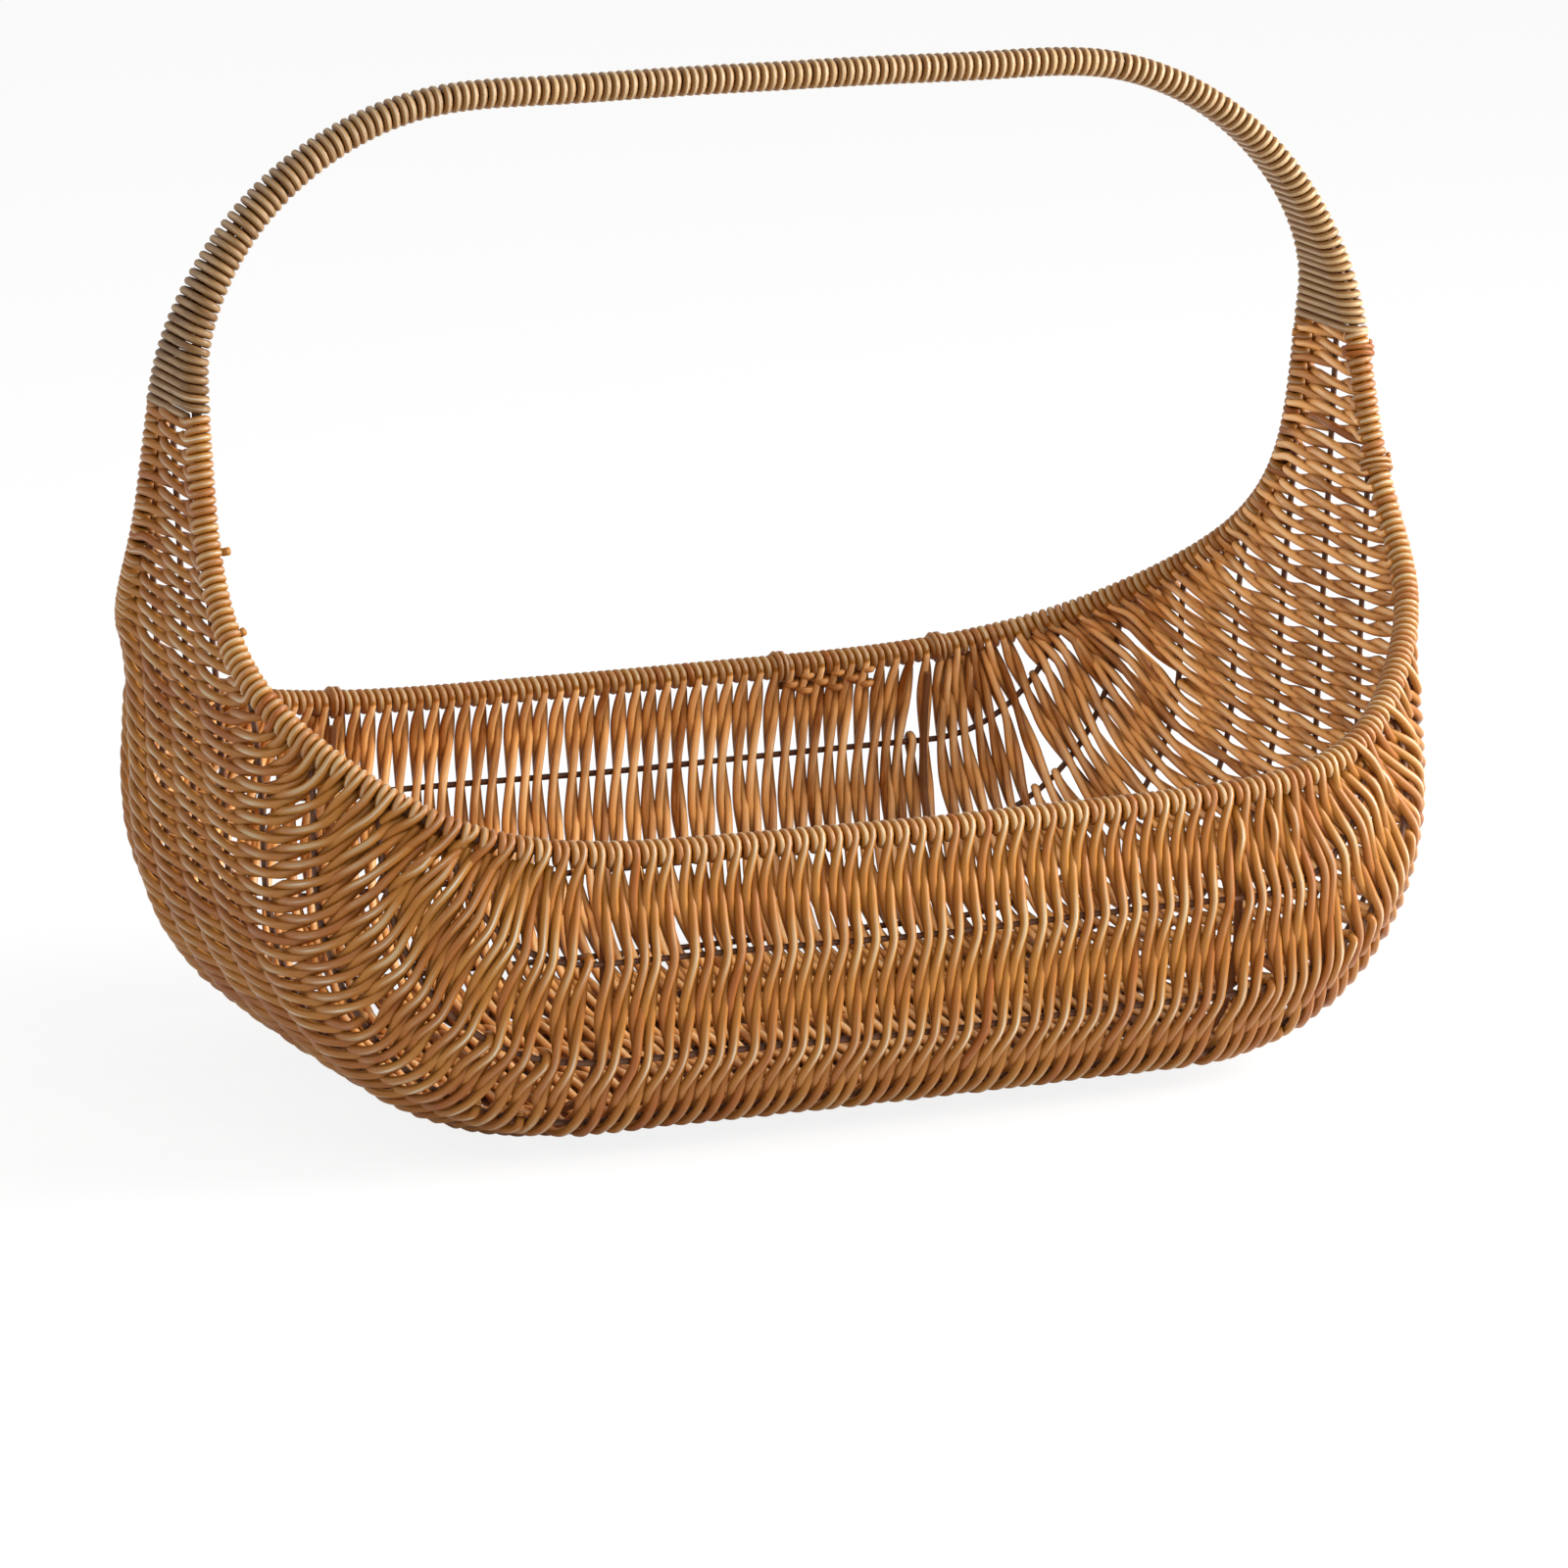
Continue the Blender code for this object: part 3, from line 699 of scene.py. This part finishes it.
def pair(row):
    """Return both canes of a row, of which the first lies outside at both rims."""
    shares, middle, lateral, normal, pitch = row_line(row)
    count = len(shares)
    turns = row.twist(shares)
    edge = [np.zeros(count), np.zeros(count)]
    if not row.short:
        edge = [smooth_step(1 - row.reach * (1 + shares) / RIM_BLEND),
                smooth_step(1 - row.reach * (1 - shares) / RIM_BLEND)]
        for weight, side in zip(edge, (-1.0, 1.0)):
            out, _, rim_along = rim_frame(row, side)
            normal = unit(normal + weight[:, None] * (out - normal))
            lateral = unit(lateral + weight[:, None] * (rim_along - lateral))
    both = edge[0] + edge[1]
    offset = np.minimum(pitch * OFFSET_SHARE, TIGHT_OFFSET)
    height = np.cos(math.pi * turns)
    lift = ((RIB_RADIUS + STRAND_RADIUS) * (1 - both) + WINDING_RADIUS * both) * height
    wave = np.sin(math.pi * turns)
    ramp = np.sign(wave) * (1 - np.abs(2 * (turns % 1.0) - 1))
    wave = STRAIGHT_SHARE * ramp + (1 - STRAIGHT_SHARE) * wave
    shift = -offset * wave * (1 - both) + (edge[1] - edge[0]) * RIM_SHIFT
    bend = FRONT_SWAY * RANDOM.uniform(*FRONT_SWAY_RANGE) * front_share(normal)
    middle = middle - (bend * np.abs(np.sin(math.pi * turns)))[:, None] * lateral
    from_end = np.minimum(shares - shares[0], shares[-1] - shares) * row.reach
    shift = shift + behind(lateral, normal) * lift * smooth_step(from_end / BEHIND_FADE)
    drift = wobble(count, *DRIFT) * (1 - both)
    rise = wobble(count, *HEIGHT_DRIFT) * (1 - both)
    lines = []
    for sign in (1.0, -1.0):
        line = middle + (sign * lift + rise)[:, None] * normal
        line = line + (sign * shift + drift)[:, None] * lateral
        lines.append(close_ends(row, sign, line, normal, middle, turns, sign * height))
    return lines


def rib_end(point, before, normal, sign, turn):
    """Return the quarter turn of a short row's cane round the rib that it ends at."""
    side = sign * round(math.cos(math.pi * turn))
    angles = np.linspace(0, math.pi / 2, HAIRPIN_STEPS)[1:]
    radial = circle(angles, side * normal, unit(point - before))
    return point + (RIB_RADIUS + STRAND_RADIUS) * radial


def close_ends(row, sign, line, normal, middle, turns, height):
    """Return a cane with its ends, its outward directions, its radii and its heights."""
    if row.short:
        first, last = line[:0], line[:0]
        if not row.tucked[0]:
            first = rib_end(middle[0], middle[1], normal[0], sign, turns[0])[::-1]
        if not row.tucked[1]:
            last = rib_end(middle[-1], middle[-2], normal[-1], sign, turns[-1])
        outward = np.pad(normal, ((len(first), len(last)), (0, 0)), "edge")
    else:
        far, near = sign * HALF_PITCH, sign * RIM_SHIFT
        tip, foot = (270, 0) if sign > 0 else (-90, 180)
        first, first_out = rim_turn(row, -1.0, (-far, -near), tip, foot)
        last, last_out = rim_turn(row, 1.0, (near, far), foot, tip)
        first, last = first[:-1], last[1:]
        outward = np.concatenate([first_out[:-1], normal, last_out[1:]])
    points = np.concatenate([first, line, last])
    for _ in range(SOFTEN_ROUNDS):
        points[1:-1] = points[1:-1] * 0.5 + (points[:-2] + points[2:]) * 0.25
    heights = np.pad(height, (len(first), len(last)), "edge")
    # the turns round a rim count as lying nearly high for the painted shade and highlight
    if not row.short:
        heights[:len(first)] = RIM_SHADE_HEIGHT
        heights[len(points) - len(last):] = RIM_SHADE_HEIGHT
    radii = cane_radii(points, row, len(first), len(last))
    points[:, 2] = np.maximum(points[:, 2], radii)
    return points, outward, radii, heights


def cane_radii(points, row, first, last):
    """Return the radius along a cane, which is drawn thinner where it winds a rim."""
    radii = np.full(len(points), WALL_CANE_RADIUS)
    if row.short:
        return radii
    lengths = arc_lengths(points)
    inside = np.minimum(lengths - lengths[first], lengths[len(points) - 1 - last] - lengths)
    thin = smooth_step(1 - inside / RIM_CANE_LENGTH)
    return radii + thin * (STRAND_RADIUS - WALL_CANE_RADIUS)


def tube(points, outward, radii, heights, tones):
    """Return the skin of a round cane along a line, with what its material reads.

    The outer side of a cane is painted lighter, as a painted highlight, where it lies high,
    and darker, as painted shade, where it lies low; the inner side the other way round.
    """
    along = unit(np.gradient(points, axis=0))
    count = len(points)
    carried, normal = outward[0], []
    for step in along:
        carried = unit(carried - carried.dot(step) * step)
        normal.append(carried)
    normal = np.array(normal)
    other = np.cross(along, normal)
    angles = 2 * math.pi * np.arange(TUBE_SIDES) / TUBE_SIDES
    ring = (np.cos(angles)[None, :, None] * normal[:, None] +
            np.sin(angles)[None, :, None] * other[:, None])
    skin = points[:, None] + radii[:, None, None] * ring
    facing = np.sum(ring * outward[:, None], axis=2)
    # painted shade and highlight: a side keeps its full contrast up to the pale crest where the
    # cane lies out on that side, and falls towards the dark flank colour where it lies behind
    depth_shade = DEPTH_SHADE_SHARE + (1 - DEPTH_SHADE_SHARE) * np.sign(facing) * heights[:, None]
    facing = facing * depth_shade * 0.5 + 0.5
    lengths = arc_lengths(points)
    marks = np.zeros((count, TUBE_SIDES, 4))
    marks[:, :, 0] = np.broadcast_to(tones[0], count)[:, None]
    marks[:, :, 1] = tones[1]
    marks[:, :, 2] = facing
    marks[:, :, 3] = 1.0
    return skin.reshape(-1, 3), marks.reshape(-1, 4), lengths


def add_object(name, data):
    """Add an object to the scene."""
    made = bpy.data.objects.new(name, data)
    bpy.context.scene.collection.objects.link(made)
    return made


def skin_faces(lengths, base, run_start):
    """Return a tube's side faces and their texture places, along and around it."""
    side = np.arange(TUBE_SIDES)
    after = (side + 1) % TUBE_SIDES
    steps = len(lengths) - 1
    row = np.arange(steps)[:, None] * TUBE_SIDES + base
    quads = np.stack([row + side, row + after, row + after + TUBE_SIDES,
                      row + side + TUBE_SIDES], axis=2)
    around = np.stack([side, side + 1, side + 1, side], axis=1) / TUBE_SIDES
    around = np.broadcast_to(around, (steps, TUBE_SIDES, 4))
    low = np.broadcast_to(lengths[:-1, None, None], (steps, TUBE_SIDES, 1))
    high = np.broadcast_to(lengths[1:, None, None], (steps, TUBE_SIDES, 1))
    run = np.concatenate([low, low, high, high], axis=2) + run_start
    return quads.reshape(-1, 4), np.stack([around, run], axis=3).reshape(-1, 2)


def cane_object(name, lines, tones):
    """Add canes as one mesh of closed tubes."""
    vertices, marks, quads, caps, corner_uv = [], [], [], [], []
    base = 0
    side = np.arange(TUBE_SIDES)
    for line, tone in zip(lines, tones):
        skin, mark, lengths = tube(*line, tone)
        quad, uv = skin_faces(lengths, base, tone[2])
        vertices.append(skin)
        marks.append(mark)
        quads.append(quad)
        corner_uv.append(uv)
        caps.append(base + side[::-1])
        caps.append(base + len(skin) - TUBE_SIDES + side)
        base += len(skin)
    quads = np.concatenate(quads)
    loops = np.concatenate([quads.ravel(), *caps])
    starts = np.concatenate([np.arange(len(quads)) * 4,
                             quads.size + np.arange(len(caps)) * TUBE_SIDES])
    mesh = bpy.data.meshes.new(name)
    mesh.vertices.add(base)
    mesh.vertices.foreach_set("co", np.concatenate(vertices).astype(np.float32).ravel())
    mesh.loops.add(len(loops))
    mesh.loops.foreach_set("vertex_index", loops.astype(np.int32))
    mesh.polygons.add(len(starts))
    mesh.polygons.foreach_set("loop_start", starts.astype(np.int32))
    mesh.update(calc_edges=True)
    mesh.validate()
    uv = np.zeros((len(loops), 2))
    uv[:quads.size] = np.concatenate(corner_uv)
    layer = mesh.uv_layers.new(name="cane")
    layer.data.foreach_set("uv", uv.astype(np.float32).ravel())
    colour = mesh.color_attributes.new("cane_marks", "FLOAT_COLOR", "POINT")
    colour.data.foreach_set("color", np.concatenate(marks).astype(np.float32).ravel())
    mesh.shade_smooth()
    return add_object(name, mesh)


def cane_tones(count):
    """Return random shade, hue and length offset for each cane."""
    return np.stack([
        np.clip(RANDOM.normal(*WEAVE_TONE, count), 0, 1),
        RANDOM.random(count),
        RANDOM.random(count) * RUN_START,
    ], axis=1)


def weave_lines():
    """Return the canes of every row, from the left end to the right."""
    first = WINDING_START
    span = 2 * (RIM_HALF_LENGTH - first)
    count = int(round(span / PAIR_PITCH))
    places = first + span * np.arange(count + 1) / count
    rows = [Row(place) for place in places]
    rows += short_rows(places)
    rows.sort(key=lambda row: row.place)
    settle(rows)
    lines = []
    for row in rows:
        lines += pair(row)
    return lines


def even_line(points, outward, radius, height=1.0):
    """Return a line whose radius and height are the same all along."""
    count = len(points)
    return points, outward, np.full(count, radius), np.full(count, height)


def lashing_line(place, side, turns):
    """Return a thin cane lashed over the winding of a rim."""
    out, up, _ = rim_frame(Row(place), side)
    share = np.linspace(-0.5, 0.5, int(turns * WRAP_STEPS))
    centres = rim_points(place + LASHING_PITCH * turns * share, side)
    radial = circle(2 * math.pi * turns * share, out, up)
    points = centres + (WINDING_RADIUS + STRAND_RADIUS) * radial
    return even_line(points, radial, LASHING_RADIUS)


def loose_end(place, side, length):
    """Return the end of a cane that stands out of a rim's winding into the basket."""
    out, up, along = rim_frame(Row(place), side)
    reach = np.linspace(0, 1, HAIRPIN_STEPS)[:, None]
    inner = WINDING_RADIUS * (along * LOOSE_ALONG - out * LOOSE_INTO)
    curl = length * reach * (-out + up * LOOSE_CURL * reach)
    points = rim_points(np.array([place]), side) + inner * np.minimum(1, 2 * reach) + curl
    return even_line(points, np.repeat(out[None], len(points), 0), STRAND_RADIUS)


def patch_line(share, number):
    """Return a short cane woven along under the back rim, in and out of the rows."""
    places = np.arange(*PATCH_PLACES, PATCH_STEP)
    middle = WALL.point(places, np.full(len(places), share))
    along = unit(np.gradient(middle, axis=0))
    up = WALL.point(places, np.full(len(places), share + SHARE_STEP)) - middle
    normal = unit(np.cross(unit(up), along))
    lift = (RIB_RADIUS + 2 * STRAND_RADIUS) * np.cos(math.pi * (places / PAIR_PITCH + number))
    return even_line(middle + lift[:, None] * normal, normal, STRAND_RADIUS, 0.0)


def rib_wire(rib):
    """Return the line of a rib through the wall, from rim to rim."""
    shares = WALL.ribs * rib
    kept = np.flatnonzero(np.abs(shares) <= 1 - RIM_CLEARANCE / WALL.reaches)
    first, last = WALL.places[kept[0]], WALL.places[kept[-1]]
    first, last = max(first, WINDING_START), min(last, 2 * RIM_HALF_LENGTH - WINDING_START)
    places = np.linspace(first, last, int((last - first) / RIB_STEP))
    points = WALL.point(places, np.interp(places, WALL.places, shares))
    inner = np.array([[0.0, 0.0, FOOT_HEIGHT]]) - points
    return even_line(points, unit(-inner), RIB_RADIUS)


def handle_frame(length):
    """Return the handle's middle, outward direction and rod spread, from the left foot."""
    side = -1.0 if length < HANDLE_HALF_LENGTH else 1.0
    place = min(length, 2 * HANDLE_HALF_LENGTH - length)
    step = STRAND_RADIUS
    before, here, after = at_length(HANDLE, HANDLE_LENGTHS, [place - step, place, place + step])
    if place > HANDLE_HALF_LENGTH - step:
        after = here + (here - before) * np.array([1.0, 0.0, -1.0])
    along = unit((after - before) * np.array([1.0, 0.0, 1.0]))
    outward = np.array([along[2] * side, 0.0, -along[0]])
    middle = here * np.array([side, 0.0, 1.0])
    return middle, outward, here[1]


def wound_point(length, turn):
    """Return a point of the cane wound round both rods, and its outward direction."""
    middle, outward, spread = handle_frame(length)
    turn = turn % 1.0
    half_turn = turn % 0.5
    if half_turn < FLAT_SHARE:
        across = spread * (2 * half_turn / FLAT_SHARE - 1)
        lift = WINDING_RADIUS
        radial = (0.0, 1.0)
    else:
        angle = math.pi * (half_turn - FLAT_SHARE) / (0.5 - FLAT_SHARE)
        across = spread + WINDING_RADIUS * math.sin(angle)
        lift = WINDING_RADIUS * math.cos(angle)
        radial = (math.sin(angle), math.cos(angle))
    if turn >= 0.5:
        across, lift = -across, -lift
        radial = (-radial[0], -radial[1])
    point = middle + np.array([0.0, across, 0.0]) + lift * outward
    return point, np.array([0.0, radial[0], 0.0]) + radial[1] * outward


def handle_line():
    """Return the cane wound along the whole handle."""
    span = 2 * (HANDLE_HALF_LENGTH - WINDING_START)
    turns = int(round(span / TURN_PITCH))
    count = turns * TURN_POINTS
    uneven = wobble(count + 1, *TURN_DRIFT)
    points, outward = [], []
    for index in range(count + 1):
        turn = index / TURN_POINTS
        length = WINDING_START + span * turn / turns + uneven[index]
        point, out = wound_point(min(max(length, 0.0), 2 * HANDLE_HALF_LENGTH), turn)
        points.append(point)
        outward.append(out)
    return even_line(np.array(points), np.array(outward), STRAND_RADIUS)


class Nodes:
    """A material's node tree with short calls to add and link nodes."""

    def __init__(self, name):
        self.material = bpy.data.materials.new(name)
        self.material.use_nodes = True
        self.tree = self.material.node_tree
        self.shader = self.tree.nodes["Principled BSDF"]

    def add(self, kind, inputs=None, **settings):
        """Add a node, set its properties and link or set its inputs."""
        node = self.tree.nodes.new(kind)
        for key, value in settings.items():
            setattr(node, key, value)
        for key, value in (inputs or {}).items():
            self.put(node.inputs[key], value)
        return node

    def put(self, socket, value):
        """Link a socket to an output, or set its value."""
        if isinstance(value, bpy.types.NodeSocket):
            self.tree.links.new(value, socket)
        else:
            socket.default_value = value

    def maths(self, operation, first, second=0.0, third=0.0, clamp=False):
        """Add a maths node."""
        node = self.add("ShaderNodeMath", {0: first, 1: second, 2: third}, operation=operation)
        node.use_clamp = clamp
        return node.outputs[0]

    def noise(self, place, scale, detail, **settings):
        """Add noise of a scale and detail."""
        inputs = {"Vector": place, "Scale": scale, "Detail": detail, **settings}
        return self.add("ShaderNodeTexNoise", inputs).outputs[0]

    def stretched_noise(self, place, stretch, detail):
        """Add noise stretched by a different scale each way."""
        place = self.add("ShaderNodeMapping", {0: place, "Scale": stretch}).outputs[0]
        return self.noise(place, 1.0, detail, Roughness=0.6)

    def feed(self, name, value):
        """Link an input of the shader to an output, or set its value."""
        self.put(self.shader.inputs[name], value)

    def bump(self, strength, distance, height):
        """Add relief to the shader."""
        inputs = {"Strength": strength, "Distance": distance, "Height": height}
        self.feed("Normal", self.add("ShaderNodeBump", inputs).outputs[0])

    def mix(self, factor, first, second, blend="MIX"):
        """Add a colour mix."""
        node = self.add("ShaderNodeMix", data_type="RGBA", blend_type=blend)
        for key, value in ((0, factor), (6, first), (7, second)):
            self.put(node.inputs[key], value)
        return node.outputs[2]


def cane_material(name, inner, low, side, outer, crown, stain_and_shade):
    """Return the satin finish of a round cane with fine fibres along it.

    The cane's skin runs from its inner side through its flanks to its crown, with painted shade
    on the flanks and painted highlights on the crown and on the middle of the inner side.
    """
    made = Nodes(name)
    uv = made.add("ShaderNodeUVMap", uv_map="cane").outputs[0]
    marks = made.add("ShaderNodeAttribute", attribute_name="cane_marks")
    parts = made.add("ShaderNodeSeparateColor", {0: marks.outputs["Color"]})
    tone, hue, facing = parts.outputs
    fibres = made.stretched_noise(uv, *FIBRES)
    streaks = made.stretched_noise(uv, *STREAKS)
    patches = made.stretched_noise(uv, *PATCHES)
    # the ramp paints light and shade: the dark flank colour is painted shade, the pale crown and
    # inner colours are painted highlights
    ramp = made.add("ShaderNodeValToRGB", {0: facing})
    stops = ramp.color_ramp.elements
    stops[0].position, stops[0].color = CANE_PLACES[0], (*inner, 1)
    stops[1].position, stops[1].color = CANE_PLACES[-1], (*crown, 1)
    for place, colour in zip(CANE_PLACES[1:-1], (low, side, side, outer)):
        stops.new(place).color = (*colour, 1)
    # share of the stain colour: random tone and grain, and on the handle also painted shade near
    # the left foot
    shade = made.maths("MULTIPLY_ADD", tone, TONE_GAIN, TONE_START)
    for pattern, depth in zip((fibres, streaks, patches), DARKENING):
        share = made.maths("MULTIPLY_ADD", pattern, depth, -depth / 2)
        shade = made.maths("ADD", shade, share, clamp=pattern is patches)
    colour = made.mix(shade, ramp.outputs[0], (*stain_and_shade, 1))
    colour = made.mix(1.0, colour, made.mix(hue, *WARMTH), blend="MULTIPLY")
    made.feed("Base Color", colour)
    made.feed("Roughness", made.maths("MULTIPLY_ADD", fibres, *CANE_ROUGHNESS))
    height = made.maths("MULTIPLY", streaks, CANE_RELIEF[1])
    made.bump(*CANE_BUMP, made.maths("MULTIPLY_ADD", fibres, CANE_RELIEF[0], height))
    made.feed("Specular IOR Level", CANE_SPECULAR)
    return made.material


def wire_material(name, colour, edge):
    """Return dark painted wire, a little worn and uneven."""
    made = Nodes(name)
    place = made.add("ShaderNodeTexCoord").outputs["Object"]
    grain = made.noise(place, *GRAIN)
    wear = made.maths("SUBTRACT", made.noise(place, *WEAR), 0.5)
    share = made.maths("MULTIPLY", wear, WEAR_CONTRAST, clamp=True)
    made.feed("Base Color", made.mix(share, (*colour, 1), (*edge, 1)))
    rough = made.maths("MULTIPLY", grain, WIRE_ROUGHNESS[0])
    made.feed("Roughness", made.maths("ADD", rough, WIRE_ROUGHNESS[1]))
    made.bump(*WIRE_BUMP, grain)
    made.feed("Metallic", WIRE_METALLIC)
    return made.material


def dress(piece, material):
    """Give a piece one material."""
    piece.data.materials.clear()
    piece.data.materials.append(material)


def add_ribs(material):
    """Add the ribs as smooth wires through the wall."""
    for rib in range(-RIBS_PER_SIDE, RIBS_PER_SIDE + 1):
        side = "back" if rib > 0 else "front"
        node_name = f"rib_{side}_{abs(rib)}" if rib else "rib_keel"
        piece = cane_object(f"{node_name}_wire", [rib_wire(rib)], [EVEN_MARKS])
        dress(piece, material)
        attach(piece, ROOT)
        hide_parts(node_name)


def add_weave(material):
    """Add the woven wall in several pieces along the basket."""
    lines = weave_lines()
    tones = cane_tones(len(lines))
    per_piece = math.ceil(len(lines) / WEAVE_PIECES)
    panels = [name for name in sorted(frame["nodes"]) if name.startswith("weave_")]
    for number in range(WEAVE_PIECES):
        part = slice(number * per_piece, (number + 1) * per_piece)
        piece = cane_object(f"weave_canes_{number + 1}", lines[part], tones[part])
        dress(piece, material)
        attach(piece, ROOT)
        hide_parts(*panels, "rim_wrap_front", "rim_wrap_back")


def add_ends(material):
    """Add the lashings, the loose ends and the patch of ends tucked in at the back rim."""
    groups = {
        "rim_lashings": [(lashing_line(*spot[:3]), spot[3]) for spot in LASHINGS],
        "loose_ends": [(loose_end(*spot), LOOSE_TONE) for spot in LOOSE_ENDS],
        "tucked_ends": [(patch_line(share, number), PATCH_TONE)
                        for number, share in enumerate(PATCH_SHARES)],
    }
    for name, canes in groups.items():
        marks = [(tone, SMALL_HUE, SMALL_RUN_STEP * index)
                 for index, (_, tone) in enumerate(canes)]
        piece = cane_object(name, [line for line, _ in canes], marks)
        dress(piece, material)
        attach(piece, ROOT)


def add_handle(material):
    """Add the winding along the handle."""
    line = handle_line()
    from_foot = np.linspace(0, 2 * HANDLE_HALF_LENGTH, len(line[0]))
    # painted shade: the winding darkens towards the stain colour over a length from the left foot
    tone = HANDLE_TONE + SHADED_TONE * smooth_step(1 - from_foot / SHADED_LENGTH)
    piece = cane_object("handle_winding", [line], [(tone, 0.5, 0.0)])
    dress(piece, material)
    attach(piece, ROOT)
    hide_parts("handle_wrap", "winding_left", "winding_right")


def add_floor():
    """Add the pale floor, which keeps the basket's shadow."""
    size = FLOOR_HALF_SIZE
    mesh = bpy.data.meshes.new("floor")
    corners = [(-size, -size, 0), (size, -size, 0), (size, size, 0), (-size, size, 0)]
    mesh.from_pydata(corners, [], [(0, 1, 2, 3)])
    floor = add_object("floor", mesh)
    floor.location = (0, 0, FLOOR_HEIGHT)
    made = Nodes("floor_white")
    seen = made.add("ShaderNodeLightPath").outputs["Is Camera Ray"]
    glow = made.add("ShaderNodeEmission", {"Color": WHITE, "Strength": 1.0}).outputs[0]
    made.feed("Base Color", FLOOR_COLOUR)
    made.feed("Roughness", FLOOR_ROUGHNESS)
    mixed = made.add("ShaderNodeMixShader", {0: made.maths("MULTIPLY", seen, FLOOR_GLOW),
                                             1: made.shader.outputs[0], 2: glow}).outputs[0]
    made.put(made.tree.nodes["Material Output"].inputs["Surface"], mixed)
    mesh.materials.append(made.material)


def add_sky():
    """Add the white surroundings, which shine less on the basket than to the camera."""
    world = bpy.data.worlds.new("studio")
    bpy.context.scene.world = world
    world.use_nodes = True
    tree = world.node_tree
    background = tree.nodes["Background"]
    path = tree.nodes.new("ShaderNodeLightPath")
    strength = tree.nodes.new("ShaderNodeMapRange")
    strength.inputs["To Min"].default_value = SKY_LIGHT
    tree.links.new(path.outputs["Is Camera Ray"], strength.inputs["Value"])
    tree.links.new(strength.outputs[0], background.inputs["Strength"])
    background.inputs["Color"].default_value = WHITE


def aimed(name, data, place, direction):
    """Add a light or a camera that looks in a direction."""
    made = add_object(name, data)
    made.location = place
    made.rotation_mode = "QUATERNION"
    made.rotation_quaternion = direction.to_track_quat("-Z", "Y")
    return made


def add_light(name, place, target, size, power):
    """Add a soft box aimed at a point."""
    data = bpy.data.lights.new(name, "AREA")
    data.size = size
    data.energy = power
    aimed(name, data, place, Vector(target) - Vector(place))


def add_camera():
    """Add the camera where the photograph was taken from."""
    azimuth, elevation = math.radians(CAMERA_AZIMUTH), math.radians(CAMERA_ELEVATION)
    back = Vector((math.sin(azimuth) * math.cos(elevation),
                   -math.cos(azimuth) * math.cos(elevation), math.sin(elevation)))
    right = Vector((math.cos(azimuth), math.sin(azimuth), 0.0))
    up = back.cross(right)
    data = bpy.data.cameras.new("camera")
    data.lens = FOCAL_LENGTH
    aside = (PICTURE_MIDDLE - TARGET_PIXEL[0]) * right
    above = (TARGET_PIXEL[1] - PICTURE_MIDDLE) * up
    place = Vector(CAMERA_TARGET) + CAMERA_DISTANCE * back
    camera = aimed("camera", data, place, -FOCAL_PIXELS * back + aside + above)
    bpy.context.scene.camera = camera


ROOT = next(iter(frame["bodies"]))
# In each cane's colours the side colour is painted shade on the flanks, and the crown and inner
# colours are painted highlights
woven = cane_material("cane_woven", inner=(0.86, 0.590, 0.320), low=(0.84, 0.440, 0.150),
                      side=(0.31, 0.128, 0.018), outer=(0.385, 0.288, 0.168),
                      crown=(0.68, 0.690, 0.660), stain_and_shade=(0.24, 0.072, 0.008))
wound = cane_material("cane_wound", inner=(0.28, 0.130, 0.040), low=(0.24, 0.112, 0.032),
                      side=(0.225, 0.108, 0.032), outer=(0.425, 0.300, 0.160),
                      crown=(0.535, 0.495, 0.430), stain_and_shade=(0.14, 0.070, 0.024))
wire = wire_material("dark_wire", (0.090, 0.032, 0.011), (0.19, 0.075, 0.030))
stained = wire_material("stained_wire", (0.16, 0.058, 0.016), (0.28, 0.120, 0.040))
for node_name, node in frame["nodes"].items():
    dress(node, stained if node_name.startswith("frame_") else wire)
add_ribs(wire)
add_weave(woven)
add_ends(woven)
add_handle(wound)
add_floor()
add_sky()
for light_name, settings in BOXES.items():
    add_light(light_name, *settings)
add_camera()
bpy.context.scene.view_settings.view_transform = "Standard"
